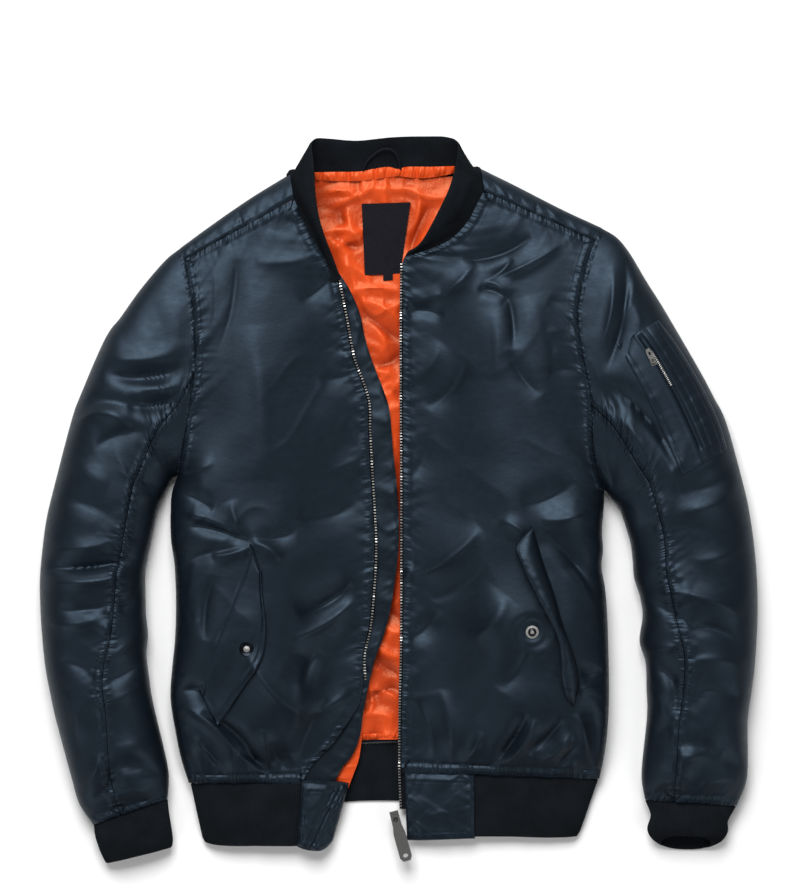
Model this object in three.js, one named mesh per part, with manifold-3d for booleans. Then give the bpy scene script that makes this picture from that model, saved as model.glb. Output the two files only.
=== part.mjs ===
// A men's padded bomber jacket, laid out flat on its back with the front open.
// It is built from the pieces that are cut and sewn.
// Millimetres, +Z up. The garment lies in the XY plane with its collar towards +Y and its front facing +Z.
// Right and left are the wearer's: the right front and sleeve lie towards -X.

import * as THREE from "three";
import { mergeVertices } from "three/addons/utils/BufferGeometryUtils.js";
import Module from "manifold-3d";

// Driving sizes.
const WALL = 2.5; // shell cloth with its wadding pressed flat
const RIB_WALL = 3; // doubled rib knit of collar, cuffs and hem
const SEAM_GAP = 0.3;
const SIDE_SEAM_HEIGHT = 17; // height at which front and back meet along the body's side
const SLEEVE_SEAM_HEIGHT = 14; // height of a sleeve's widest line above the floor
const ARMHOLE_CROWN = 36;
const SIDE_ROUND = 42; // distance over which the padded front rounds down to its side seam
const BACK_ROUND = 14; // distance over which the back turns up to the side seam
const LINING_BASE = WALL + SEAM_GAP;
const LINING_CLEARANCE = 0.6;
const LINING_THICK = 3.6; // the lining with its wadding
const LINING_TOP = LINING_BASE + LINING_CLEARANCE + LINING_THICK;

// The plan: millimetres on the laid-out garment, x to the right and y down the sheet.
// This point of it stands over the origin.
const PLAN_CENTRE = { x: 398.75, y: 500.2 };

// Materials.
const cloth = (color, roughness) => new THREE.MeshStandardMaterial({ color, roughness, metalness: 0 });
const SHELL = cloth(0x1d2b38, 0.45);
const RIB = cloth(0x14191f, 0.9);
const LINING = cloth(0xe8501c, 0.5);
const TAPE = cloth(0x0b0d10, 0.8);
const LABEL = cloth(0x14161f, 0.7);
const STEEL = new THREE.MeshStandardMaterial({ color: 0x9a9a98, roughness: 0.35, metalness: 1 });

// Tables: named columns, then one row for each section, station or fold.
const table = (columns, ...rows) =>
  rows.map((row) => Object.fromEntries(columns.split(" ").map((name, i) => [name, row[i]])));

const clamp01 = (t) => Math.min(1, Math.max(0, t));
const mix = (a, b, t) => a + (b - a) * t;
const smooth = (t) => clamp01(t) ** 2 * (3 - 2 * clamp01(t));
const rounded = (t) => Math.sqrt(1 - (1 - clamp01(t)) ** 2); // a quarter circle, from 0 to 1
const steps = (count) => Array.from({ length: count + 1 }, (_, i) => i / count);

const inRow = (x, y, z) => new THREE.Vector3(x - PLAN_CENTRE.x, PLAN_CENTRE.y - y, z);

// A smooth plan curve through points, measured by its own length from 0 to 1.
const planPath = (points) => {
  const curve = new THREE.CatmullRomCurve3(
    points.map(([x, y]) => new THREE.Vector3(x, y, 0)), false, "centripetal");
  curve.arcLengthDivisions = 400;
  return (t) => curve.getPointAt(clamp01(t));
};

// A column of a table, read between its rows by a cubic that passes through them.
function column(rows, name, at, key = "at") {
  const last = rows.length - 1;
  const i = Math.min(last - 1, Math.max(0, rows.findIndex((row) => row[key] >= at) - 1));
  if (at >= rows[last][key]) return rows[last][name];
  const slope = (k) => {
    const a = rows[Math.max(0, k - 1)], b = rows[Math.min(last, k + 1)];
    return (b[name] - a[name]) / (b[key] - a[key]);
  };
  const span = rows[i + 1][key] - rows[i][key];
  const t = clamp01((at - rows[i][key]) / span);
  const [t2, t3] = [t * t, t * t * t];
  return (2 * t3 - 3 * t2 + 1) * rows[i][name] + (t3 - 2 * t2 + t) * span * slope(i) +
    (3 * t2 - 2 * t3) * rows[i + 1][name] + (t3 - t2) * span * slope(i + 1);
}

// The largest folds of the shell: soft ridges, or troughs where lift is negative, along a line on the plan.
const BODY_FOLDS = table("x1 y1 x2 y2 width lift",
  [212, 275, 205, 345, 9, 4], [232, 262, 214, 352, 9, -3.5], [300, 300, 338, 268, 12, -4],
  [250, 330, 262, 470, 26, 4], [300, 612, 350, 585, 13, -7], [305, 640, 345, 625, 20, 5],
  [185, 527, 243, 545, 14, -6], [180, 690, 200, 692, 9, -5], [200, 712, 262, 775, 11, -7],
  [186, 720, 236, 770, 9, 4], [300, 660, 285, 745, 24, 5],
  [462, 258, 528, 236, 11, -7], [430, 300, 500, 262, 11, 5], [500, 281, 572, 242, 12, 5],
  [486, 284, 508, 262, 8, -5], [505, 288, 512, 345, 13, -6], [512, 345, 545, 385, 13, -5],
  [406, 313, 440, 316, 9, -5], [428, 405, 458, 365, 12, -5], [410, 572, 475, 530, 14, 4],
  [545, 535, 595, 610, 16, -5], [555, 350, 590, 345, 14, 4], [470, 640, 500, 600, 26, 4],
  [486, 768, 526, 714, 11, -7], [520, 755, 562, 708, 10, 5], [545, 762, 572, 734, 9, -5],
  [415, 700, 432, 760, 14, -4]);
const SLEEVE_RIGHT_FOLDS = table("x1 y1 x2 y2 width lift",
  [112, 376, 192, 366, 12, -8], [128, 402, 176, 400, 12, -10], [76, 428, 138, 424, 11, 5],
  [84, 408, 118, 398, 11, -6], [150, 452, 182, 448, 8, -5], [165, 300, 180, 350, 12, 4],
  [42, 562, 140, 556, 13, -8], [118, 604, 142, 594, 9, -7], [60, 607, 110, 603, 9, -4],
  [106, 676, 144, 656, 10, -5], [78, 745, 66, 690, 14, 3], [112, 768, 160, 774, 9, -5],
  [84, 792, 100, 752, 9, 4]);
const SLEEVE_LEFT_FOLDS = table("x1 y1 x2 y2 width lift",
  [603, 362, 628, 268, 10, -8], [612, 330, 622, 262, 8, 4], [606, 380, 668, 452, 13, -9],
  [590, 300, 600, 262, 9, 4], [622, 432, 655, 470, 14, 4], [600, 455, 612, 498, 9, -5],
  [640, 602, 728, 636, 12, -9], [646, 640, 676, 652, 10, 5], [652, 662, 668, 706, 10, -8],
  [655, 752, 742, 766, 11, -8], [640, 745, 668, 722, 9, 4], [700, 560, 740, 545, 16, 4],
  [690, 490, 735, 470, 12, -4]);

function foldLift(folds, x, y) {
  let lift = 0;
  for (const f of folds) {
    const [dx, dy] = [f.x2 - f.x1, f.y2 - f.y1];
    const t = ((x - f.x1) * dx + (y - f.y1) * dy) / (dx * dx + dy * dy);
    const nearest = clamp01(t);
    const away = Math.hypot(x - f.x1 - nearest * dx, y - f.y1 - nearest * dy);
    lift += f.lift * Math.exp(-((away / f.width) ** 2));
  }
  return lift;
}

// A closed wall between two grids of points that pair up; with loop, its columns close into a tube.
function wall(name, material, outer, inner, loop = false) {
  const [rows, cols] = [outer.length, outer[0].length];
  const points = [...outer.flat(), ...inner.flat()];
  const index = [];
  const at = (side, r, c) => side * rows * cols + r * cols + (c % cols);
  const quad = (a, b, c, d) => index.push(a, b, c, a, c, d);
  const lastCol = loop ? cols : cols - 1;
  for (let r = 0; r < rows - 1; r++)
    for (let c = 0; c < lastCol; c++) {
      quad(at(0, r, c), at(0, r, c + 1), at(0, r + 1, c + 1), at(0, r + 1, c));
      quad(at(1, r, c), at(1, r + 1, c), at(1, r + 1, c + 1), at(1, r, c + 1));
    }
  for (let c = 0; c < lastCol; c++) {
    quad(at(0, 0, c), at(1, 0, c), at(1, 0, c + 1), at(0, 0, c + 1));
    quad(at(0, rows - 1, c), at(0, rows - 1, c + 1), at(1, rows - 1, c + 1), at(1, rows - 1, c));
  }
  if (!loop)
    for (let r = 0; r < rows - 1; r++) {
      quad(at(0, r, 0), at(0, r + 1, 0), at(1, r + 1, 0), at(1, r, 0));
      quad(at(0, r, cols - 1), at(1, r, cols - 1), at(1, r + 1, cols - 1), at(0, r + 1, cols - 1));
    }
  let sixVolumes = 0;
  const [a, b, c] = [new THREE.Vector3(), new THREE.Vector3(), new THREE.Vector3()];
  for (let i = 0; i < index.length; i += 3) {
    [a, b, c].forEach((corner, k) => corner.copy(points[index[i + k]]));
    sixVolumes += a.dot(b.cross(c));
  }
  if (sixVolumes < 0) index.reverse();
  const geometry = new THREE.BufferGeometry().setFromPoints(points).setIndex(index);
  geometry.computeVertexNormals();
  return named(name, new THREE.Mesh(geometry, material));
}

function named(name, mesh) {
  mesh.name = name;
  return mesh;
}

// A wall whose two sides stand over the same plan points: plan(i, j) gives a point, top and base its heights.
function patch(name, material, rowCount, colCount, plan, top, base) {
  const side = (height) => steps(rowCount).map((_, r) =>
    steps(colCount).map((_, c) => {
      const p = plan(r, c);
      return inRow(p.x, p.y, height(r, c, p));
    }));
  return wall(name, material, side(top), side(base));
}

// The armhole seams. Both start at the shoulder's end and run down to the underarm.
const RING_STEPS = 13; // stations along an armhole, closer together at its ends
const ringShare = (i) => (1 - Math.cos((Math.PI * i) / RING_STEPS)) / 2;
const YOKE_STATION = 2; // where the shoulder yoke's seam meets the armhole
const ARMHOLE_RIGHT = planPath([[180, 247], [184, 260], [188.5, 282], [192.5, 305], [195, 335],
  [195.5, 362],
  [192.5, 390], [189, 412], [184, 440], [180, 460], [177, 476]]);
const ARMHOLE_LEFT = planPath([[602, 227], [594, 244], [587, 265], [580.5, 290], [577.5, 314], [579, 335],
  [583, 360], [588, 382], [591.5, 410], [592.5, 440], [597, 467], [605, 490]]);
const SIDE_RIGHT = planPath([[177, 476], [171.5, 492], [170, 512], [170.5, 540], [174, 565],
  [175.5, 605], [174.5, 640],
  [171.5, 670], [170, 698], [174.5, 730], [180.5, 760], [188, 784.2]]);
const SIDE_LEFT = planPath([[605, 490], [604, 512], [602.5, 530], [603.5, 550], [602, 567],
  [605.5, 588], [607.5, 612],
  [609, 655], [609.5, 700], [607.5, 737], [604, 762], [600, 780]]);
const YOKE_NECK_RIGHT = { x: 294, y: 199 };
const YOKE_NECK_LEFT = { x: 484, y: 191 };
const SHOULDER_RIGHT = planPath([[290, 173], [250, 197.5], [215, 221.5], [180, 247]]);
const SHOULDER_LEFT = planPath([[480.5, 167.5], [520, 187], [562, 208.5], [602, 227]]);

// Neckline, then the front edge that carries the zip, from the yoke's seam to the hem seam.
const OPENING_RIGHT = planPath([[294, 199], [300, 213], [307, 228], [316, 244], [325, 258.5],
  [336, 277], [341, 300],
  [345, 320], [348.5, 340], [353, 361], [361, 382], [367, 402], [368, 430], [370, 470], [372.5, 510],
  [374, 550],
  [372, 590], [368, 630], [362.5, 655], [363, 680], [360.5, 702], [349, 721], [332, 745], [313, 765],
  [301, 784.2]]);
const OPENING_LEFT = planPath([[484, 191], [477, 204], [470, 218], [460, 231], [448, 241], [434, 247.5],
  [418, 253],
  [404, 258], [403.3, 270], [403, 320], [403, 400], [403.5, 480], [403.5, 560], [403.3, 640], [402, 700],
  [401.5, 740], [401.5, 774]]);

const HEM_SEAM_HEIGHT = 12;
const sideSeamHeight = (share) => mix(SLEEVE_SEAM_HEIGHT,
  mix(SIDE_SEAM_HEIGHT, HEM_SEAM_HEIGHT, smooth((share - 0.75) / 0.25)), smooth(share * 4));

// Heights of each front's top surface down the panel: at its padded crown and at the opening edge.
const FRONT_RIGHT_HEIGHTS = table("at crown edge",
  [0, 29, 30], [0.1, 35, 31], [0.17, 39, 28], [0.3, 43, 24], [0.5, 46, 21], [0.7, 47, 20.5],
  [0.85, 46, 20.5],
  [0.93, 40, 20], [0.975, 31, 19.5], [1, 20, 18.5]);
const FRONT_LEFT_HEIGHTS = table("at crown edge",
  [0, 29, 30], [0.1, 36, 31], [0.2, 41, 25], [0.35, 45, 22], [0.5, 46, 20.5], [0.7, 47, 20],
  [0.85, 46, 19.5],
  [0.93, 40, 18.5], [0.975, 30, 17], [1, 18.5, 14.5]);

// A section across a tube that lies flat: share 0 is its outer edge, 1 its inner edge.
const domed = (share) => Math.sqrt(Math.max(0, 1 - Math.abs(2 * share - 1) ** 2.4));
const FLAT_SHARE = 0.75; // how much of a tube's underside is flat on the floor
const turnedUp = (share) => {
  const past = Math.max(0, (Math.abs(2 * share - 1) - FLAT_SHARE) / (1 - FLAT_SHARE));
  return 1 - Math.sqrt(Math.max(0, 1 - past * past));
};
const armholeTop = (share) => mix(SLEEVE_SEAM_HEIGHT, ARMHOLE_CROWN, domed(share));
const armholeBase = (share) => SLEEVE_SEAM_HEIGHT * turnedUp(share);

// Each front: columns run from the armhole or side seam to the opening edge.
const SIDE_DISTANCES = [0, 0.9, WALL + 0.4, 7, 14, 25, 42]; // columns near the side seam, in millimetres
const FRONT_SPAN_COLUMNS = 8;
const SIDE_ROWS = 13;
const ARMHOLE_ROWS = RING_STEPS - YOKE_STATION;
const FRONT_ROWS = ARMHOLE_ROWS + SIDE_ROWS;

function frontPanel(name, { armhole, side, opening, heights, towards }) {
  // The outer boundary's points, the share of its length at each, and whether it is still the armhole.
  const border = steps(FRONT_ROWS).map((_, r) => {
    const onArmhole = r <= ARMHOLE_ROWS;
    const share = onArmhole ? ringShare(r + YOKE_STATION) : (r - ARMHOLE_ROWS) / SIDE_ROWS;
    const p = (onArmhole ? armhole : side)(share);
    return { x: p.x + (r < ARMHOLE_ROWS ? towards * SEAM_GAP : 0), y: p.y, share, onArmhole };
  });
  border.forEach((b, r) => {
    b.run = r ? border[r - 1].run + Math.hypot(b.x - border[r - 1].x, b.y - border[r - 1].y) : 0;
  });
  const whole = border[FRONT_ROWS].run;
  const cols = SIDE_DISTANCES.length + FRONT_SPAN_COLUMNS - 1;
  const grid = border.map((b) => {
    const at = b.run / whole;
    const end = opening(at);
    const span = Math.hypot(end.x - b.x, end.y - b.y);
    const near = SIDE_DISTANCES.length - 1;
    return steps(cols).map((_, c) => {
      const spanStart = SIDE_DISTANCES[near];
      const d = c <= near ? SIDE_DISTANCES[c] : mix(spanStart, span, (c - near) / (cols - near));
      const u = d / span;
      return { x: mix(b.x, end.x, u), y: mix(b.y, end.y, u), d, u, at, b };
    });
  });
  const surface = (p, thick) => {
    const crown = column(heights, "crown", p.at);
    const edge = column(heights, "edge", p.at);
    const across = mix(crown, edge, smooth((p.u - 0.4) / 0.6));
    const fade = smooth(p.d / 30) * smooth((1 - p.at) / 0.08) * smooth(p.at / 0.05);
    const spread = across + fade * foldLift(BODY_FOLDS, p.x, p.y);
    const seam = p.b.onArmhole ? armholeTop(p.b.share) : sideSeamHeight(p.b.share);
    const reach = thick ? (p.d - WALL) / (SIDE_ROUND - WALL) : (p.d + 0.5) / (SIDE_ROUND + 0.5);
    const atSide = reach <= 0 ? seam : seam + (spread - thick - seam) * rounded(reach);
    if (!p.b.onArmhole) return atSide;
    // Towards the underarm the soft slope by the armhole passes into the round of the side.
    const atArmhole = mix(seam, spread, smooth(p.d / 60)) - thick;
    return mix(atArmhole, atSide, smooth((p.b.share - 0.7) / 0.3));
  };
  return patch(name, SHELL, FRONT_ROWS, cols, (r, c) => grid[r][c],
    (r, c, p) => surface(p, 0), (r, c, p) => surface(p, WALL));
}

const frontRight = frontPanel("front_right", {
  armhole: ARMHOLE_RIGHT, side: SIDE_RIGHT, opening: OPENING_RIGHT, heights: FRONT_RIGHT_HEIGHTS,
  towards: 1 });
const frontLeft = frontPanel("front_left", {
  armhole: ARMHOLE_LEFT, side: SIDE_LEFT, opening: OPENING_LEFT, heights: FRONT_LEFT_HEIGHTS,
  towards: -1 });

// The shoulder yokes: from the fold over the shoulder down to the seam that joins the front.
const YOKE_ACROSS = [0, 0.05, 0.15, 0.32, 0.6, 1];
const YOKE_LENGTHS = 7;

function shoulderYoke(name, shoulder, armhole, neckEnd, towards) {
  const seamEnd = armhole(ringShare(YOKE_STATION));
  const plan = (r, c) => {
    const along = r / YOKE_LENGTHS;
    const fold = shoulder(along);
    const f = YOKE_ACROSS[c];
    const trim = along === 1 ? towards * SEAM_GAP : 0;
    const neckTrim = along === 0 ? -towards * 0.5 : 0;
    const seam = { x: mix(neckEnd.x, seamEnd.x, along), y: mix(neckEnd.y, seamEnd.y, along) - 2 * SEAM_GAP };
    return { x: mix(fold.x, seam.x, f) + trim + neckTrim, y: mix(fold.y, seam.y, f), f, along };
  };
  const height = (p, thick) => {
    const top = mix(30, armholeTop(ringShare(YOKE_STATION)), p.along);
    const reach = thick ? (p.f - 0.12) / 0.88 : (p.f + 0.02) / 1.02;
    if (reach <= 0) return SLEEVE_SEAM_HEIGHT;
    return SLEEVE_SEAM_HEIGHT + (top - thick - SLEEVE_SEAM_HEIGHT) * rounded(reach);
  };
  return patch(name, SHELL, YOKE_LENGTHS, YOKE_ACROSS.length - 1, plan,
    (r, c, p) => height(p, 0), (r, c, p) => height(p, WALL));
}

// The back panel lies on the floor and turns up at its edges.
const HEM_LIFT = 38.5; // how much higher up the plan the back's hem seam sits at its middle
const BACK_SHOULDER_ROWS = 4;
const BACK_EDGE = [0, 1, WALL + 0.4, 6, 10, BACK_ROUND];
const BACK_MIDDLE_COLUMNS = 6;

function backPanel() {
  const rows = [];
  for (let r = 0; r < BACK_SHOULDER_ROWS; r++) {
    const share = r / BACK_SHOULDER_ROWS;
    rows.push({ a: SHOULDER_RIGHT(share), b: SHOULDER_LEFT(share),
      outer: SLEEVE_SEAM_HEIGHT - SEAM_GAP, lip: 0, bow: 0 });
  }
  for (let i = 0; i <= RING_STEPS; i++) {
    const share = ringShare(i);
    const open = i > 0 && i < RING_STEPS;
    rows.push({ a: ARMHOLE_RIGHT(share), b: ARMHOLE_LEFT(share),
      outer: armholeBase(share) - (open ? 0 : SEAM_GAP), lip: open ? WALL : 0, bow: 0, trim: 0.5 });
  }
  for (let r = 1; r <= SIDE_ROWS; r++) {
    const share = r / SIDE_ROWS;
    rows.push({ a: SIDE_RIGHT(share), b: SIDE_LEFT(share), outer: sideSeamHeight(share) - SEAM_GAP,
      lip: 0, bow: HEM_LIFT * smooth((share - 0.55) / 0.45) });
  }
  const edges = BACK_EDGE.length;
  const cols = 2 * edges + BACK_MIDDLE_COLUMNS - 2;
  const plan = (r, c) => {
    const { a, b, bow, trim = 0 } = rows[r];
    const span = Math.hypot(b.x - a.x, b.y - a.y);
    const far = cols - c;
    const d = c < edges ? BACK_EDGE[c] : far < edges ? span - BACK_EDGE[far]
      : mix(BACK_ROUND, span - BACK_ROUND, (c - edges + 1) / BACK_MIDDLE_COLUMNS);
    const inset = mix(trim, span - trim, d / span);
    const u = inset / span;
    return { x: mix(a.x, b.x, u), y: mix(a.y, b.y, u) - bow * (1 - Math.abs(2 * u - 1) ** 2.2),
      d: Math.min(d, span - d) };
  };
  const base = (r, c, p) => rows[r].outer * (1 - rounded((p.d + 0.3) / (BACK_ROUND + 0.3)));
  const top = (r, c, p) => {
    const { outer, lip } = rows[r];
    const reach = rounded((p.d - (lip ? 0 : WALL)) / (BACK_ROUND - WALL));
    return mix(Math.max(outer + lip, WALL), WALL, reach);
  };
  return patch("back", SHELL, rows.length - 1, cols, plan, top, base);
}

// Sleeve sections from the armhole to the cuff: the two edges on the plan, the crown's height,
// and the share of the width at which the front seam crosses.
const SLEEVE_RIGHT_SECTIONS = table("outerX outerY innerX innerY crown seam",
  [180, 247, 177, 476, 36, 0.5603], [164, 260, 173.5, 477, 39, 0.66], [140, 288, 171.5, 478, 42, 0.69],
  [120, 316, 170, 480, 45, 0.71], [104, 338, 168, 484, 47, 0.73],
  [80, 393, 161, 499, 48, 0.74], [70, 421, 157, 510, 49, 0.735],
  [52, 490, 150.5, 541, 49, 0.75], [45, 520, 147, 557, 48, 0.76], [41, 550, 144.5, 573, 48, 0.75],
  [38.5, 580, 144.5, 593, 49, 0.735], [39, 610, 145, 615, 49, 0.71], [41, 640, 147, 635, 48, 0.665],
  [44, 668, 145.5, 655, 47, 0.605], [49, 695, 148, 677, 47, 0.55], [55, 722, 152, 703, 46, 0.53],
  [70, 778, 166, 763, 42, 0.42], [78, 805, 168, 783, 36, 0.41],
  [92, 826, 166.5, 800, 25, 0.38]);
const SLEEVE_LEFT_SECTIONS = table("outerX outerY innerX innerY crown seam",
  [602, 227, 605, 490, 36, 0.6773], [618, 237, 607.5, 492, 39, 0.7], [631, 253, 609, 494, 42, 0.71],
  [647, 280, 610.5, 496, 44, 0.72], [664, 307, 612, 498, 46, 0.73],
  [699, 367, 617, 504, 48, 0.735], [715, 397, 620, 508, 49, 0.73], [728, 424, 623, 516, 49, 0.73],
  [746, 490, 631, 542, 48, 0.735], [752, 520, 633.5, 560, 48, 0.74],
  [756, 550, 635, 578, 48, 0.75], [758.5, 582, 641, 598, 49, 0.755], [759, 612, 643.5, 617, 49, 0.73],
  [758, 640, 640.5, 642, 48, 0.655], [756, 668, 646.5, 663, 47, 0.66], [752.5, 696, 647.5, 690, 46, 0.67],
  [749, 724, 648, 717, 45, 0.695], [748.5, 778, 642.5, 774, 39, 0.69],
  [738, 807, 646, 801, 25, 0.69]);
const HIDDEN_STATION = 6; // station at which the underside's seam lies, counted from the outer edge
const HIDDEN_SEAM = 1 - HIDDEN_STATION / (2 * RING_STEPS); // the same seam as a turn of the section

// A point of a sleeve's section. Turn runs from the outer edge over the top (0 to 0.5),
// and back underneath (0.5 to 1).
function sleevePoint(sections, armhole, k, turn, thick) {
  const s = sections[k];
  const t = ((turn % 1) + 1) % 1;
  const over = t <= 0.5;
  const share = (1 - Math.cos(2 * Math.PI * t)) / 2;
  const width = Math.hypot(s.innerX - s.outerX, s.innerY - s.outerY);
  const w = 0.5 + (share - 0.5) * (1 - (2 * thick) / width);
  // The first sections keep the armhole's curve, and it fades along the sleeve.
  const bend = Math.max(0, 1 - k / 4) ** 1.5;
  const seam = armhole(w);
  const first = sections[0];
  const bowX = seam.x - mix(first.outerX, first.innerX, w);
  const bowY = seam.y - mix(first.outerY, first.innerY, w);
  const x = mix(s.outerX, s.innerX, w) + bend * bowX;
  const y = mix(s.outerY, s.innerY, w) + bend * bowY;
  return { x, y, share, over };
}

function sleeveHeight(sections, folds, k, p, thick) {
  const last = sections.length - 1;
  const fade = smooth(k / 3) * smooth((last - k) / 2) * domed(p.share);
  const crown = sections[k].crown + fade * foldLift(folds, p.x, p.y);
  if (p.over) return mix(SLEEVE_SEAM_HEIGHT, crown - thick, domed(p.share));
  return mix(thick, SLEEVE_SEAM_HEIGHT, turnedUp(p.share));
}

function sleevePanel(name, sections, armhole, folds, turnsOf) {
  const side = (thick) => sections.map((s, k) => turnsOf(s).map((turn) => {
    const p = sleevePoint(sections, armhole, k, turn, thick);
    return inRow(p.x, p.y, sleeveHeight(sections, folds, k, p, thick));
  }));
  return wall(name, SHELL, side(0), side(WALL));
}

const seamTurn = (s) => Math.acos(1 - 2 * s.seam) / (2 * Math.PI);
const turnGap = 0.0009; // turns, about the seam gap on these widths

function sleeve(side, sections, armhole, folds, seamStation) {
  const across = (from, to, count) => steps(count).map((t) => mix(from, to, t));
  const top = (s) => [...across(seamTurn(s) - turnGap, 0, seamStation),
    ...across(0, HIDDEN_SEAM - 1 + turnGap, HIDDEN_STATION).slice(1)];
  const under = (s) => [...across(seamTurn(s) + turnGap, 0.5, RING_STEPS - seamStation),
    ...across(0.5, HIDDEN_SEAM - turnGap, RING_STEPS - HIDDEN_STATION).slice(1)];
  return [sleevePanel(`sleeve_top_${side}`, sections, armhole, folds, top),
    sleevePanel(`sleeve_under_${side}`, sections, armhole, folds, under)];
}

// A wall of even thickness about a grid of points in space.
function sheet(name, material, mid, thick) {
  const [rows, cols] = [mid.length, mid[0].length];
  const normal = (r, c) => {
    const down = mid[Math.min(rows - 1, r + 1)][c].clone().sub(mid[Math.max(0, r - 1)][c]);
    const along = mid[r][Math.min(cols - 1, c + 1)].clone().sub(mid[r][Math.max(0, c - 1)]);
    return along.cross(down).normalize();
  };
  const side = (shift) => mid.map((row, r) =>
    row.map((p, c) => p.clone().addScaledVector(normal(r, c), shift)));
  return wall(name, material, side(thick / 2), side(-thick / 2));
}

// A ruled band between a seam and a free edge, each given at the same stations.
// Bow lifts its middle off the ruling.
const BAND_COLUMNS = "seamX seamY seamZ freeX freeY freeZ bow";
function band(name, material, stations, { perStation, across, thick }) {
  const edge = (end) => new THREE.CatmullRomCurve3(
    stations.map((s) => inRow(s[end + "X"], s[end + "Y"], s[end + "Z"])), false, "centripetal");
  const [seam, free] = [edge("seam"), edge("free")];
  const mid = steps((stations.length - 1) * perStation).map((t) => {
    const [a, b] = [seam.getPoint(t), free.getPoint(t)];
    const place = t * (stations.length - 1);
    const i = Math.min(stations.length - 2, Math.floor(place));
    const bow = mix(stations[i].bow, stations[i + 1].bow, place - i);
    return steps(across).map((v) => {
      const p = a.clone().lerp(b, v);
      p.z += bow * Math.sin(Math.PI * v);
      return p;
    });
  });
  return sheet(name, material, mid, thick);
}

// The collar: one band of rib from the right front round the back of the neck to the left front.
const COLLAR = table(BAND_COLUMNS,
  [332, 272.5, 29, 337, 271, 32.5, 0], [325.5, 256.5, 29, 332, 254.5, 38, 2],
  [316.5, 237.5, 29, 325.5, 238, 42.5, 3],
  [307.5, 219, 28.5, 319.5, 218, 45, 4], [299.5, 202, 27, 316, 195, 46, 4],
  [294.5, 187, 24, 314, 165, 44, 3],
  [292.5, 175, 18, 312, 144, 38, 2], [299, 174.5, 11, 316, 138.5, 31, 1],
  [318, 177.5, 5.5, 331, 138.5, 25, 0],
  [346, 179, 4.8, 356, 140, 20, -1], [390, 175, 4.8, 391, 136.5, 18, -1],
  [430, 176.5, 4.8, 426, 135.5, 20, -1],
  [455, 172, 5.5, 446, 136.5, 26, 0], [470, 169, 11, 456.5, 141, 33, 1],
  [477, 172.5, 18, 457.5, 152, 40, 2],
  [479, 184, 24, 455, 168, 44, 3], [474, 200, 27, 449, 189, 46, 4], [466.5, 215, 28, 441, 206.5, 46, 4],
  [456.5, 227.5, 28, 432, 224, 43, 3], [445, 237, 27.5, 421.5, 241.5, 37, 2],
  [431, 244, 27.5, 413, 249.5, 32, 1],
  [416, 250, 26.5, 407.5, 253, 29.5, 0]);
const collar = band("collar", RIB, COLLAR, { perStation: 2, across: 4, thick: RIB_WALL });

// The hem rib: from the end panel of the right front, round the side, across the back,
// and on to the left front.
const HEM_RIB = table(BAND_COLUMNS,
  [299.5, 785, 17.3, 295.5, 847.5, 14, 2], [265, 785, 18.5, 262, 847.5, 14.5, 3],
  [230, 785, 19, 226, 847.5, 13.5, 3],
  [204, 785, 15.5, 210.5, 846, 10.5, 1], [191, 785.6, 9.5, 203.5, 843.5, 6.5, 0],
  [194, 785, 5, 207, 840.5, 3.4, 0],
  [207, 780, 2.3, 222, 837, 1.9, 0], [250, 766, 1.7, 256, 823, 1.7, 0], [300, 754.8, 1.7, 302, 811, 1.7, 0],
  [350, 748, 1.7, 350, 804, 1.7, 0], [395, 746.2, 1.7, 395, 803, 1.7, 0],
  [440, 747.6, 1.7, 438, 804, 1.7, 0],
  [490, 753.8, 1.7, 484, 810, 1.7, 0], [545, 765.6, 1.7, 534, 822, 1.7, 0],
  [583, 777.4, 2.3, 566, 833, 1.9, 0], [596.5, 781, 5, 576.5, 836, 3.2, 0],
  [597.5, 781.2, 9.5, 578, 838, 6.5, 0],
  [586, 780.7, 14.5, 570, 839, 10, 1], [560, 779.8, 17, 548, 839.5, 12.5, 3],
  [520, 778.6, 16.5, 515, 838.5, 13, 3],
  [476.5, 777.2, 15.5, 476.5, 838, 12.5, 2]);
const hemRib = band("hem_rib", RIB, HEM_RIB, { perStation: 2, across: 3, thick: RIB_WALL });

// The smooth cloth panels that end the hem at the opening.
const HEM_END_RIGHT = table(BAND_COLUMNS,
  [300.6, 784.5, 17.6, 296.7, 848, 14, 2], [309, 784.5, 19.5, 303, 850.5, 17, 3],
  [319, 784.5, 20, 312, 852, 18.5, 3],
  [330, 785.5, 18, 321, 852, 16, 2], [340, 786, 15, 327, 848, 13, 1], [348, 787.5, 12, 332, 842, 10.5, 0]);
const HEM_END_LEFT = table(BAND_COLUMNS,
  [404.3, 775, 13.4, 407, 842, 11, 1], [420, 775.3, 14, 422, 842, 12.5, 2],
  [450, 776.3, 14.6, 450, 841, 13, 2],
  [475.3, 777.1, 15.2, 475.3, 840, 12.5, 2]);
const END_PANEL = { perStation: 3, across: 5, thick: WALL };
const hemEndRight = band("hem_end_right", SHELL, HEM_END_RIGHT, END_PANEL);
const hemEndLeft = band("hem_end_left", SHELL, HEM_END_LEFT, END_PANEL);

// The cuffs: closed tubes of rib. Slant carries the underside further down the sleeve than the top.
const CUFF_COLUMNS = "outerX outerY innerX innerY crown slant";
const CUFF_RIGHT = table(CUFF_COLUMNS,
  [92.2, 826.5, 166.7, 800.5, 24.4, 0], [94, 838, 168, 813, 27, 0], [98, 851, 171, 831, 27, 0],
  [101.5, 859, 172, 841, 25, 0], [104.5, 865.5, 171, 849, 21, 0]);
const CUFF_LEFT = table(CUFF_COLUMNS,
  [737.8, 807.5, 646, 801.5, 24.4, 0], [729.5, 821, 651.5, 815, 27, 2], [729.5, 829, 648, 826, 27, 7],
  [724, 835, 652, 832, 25, 13], [714, 836, 661, 835, 22, 18]);
const CUFF_ROUND = 20; // stations round a cuff

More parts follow.
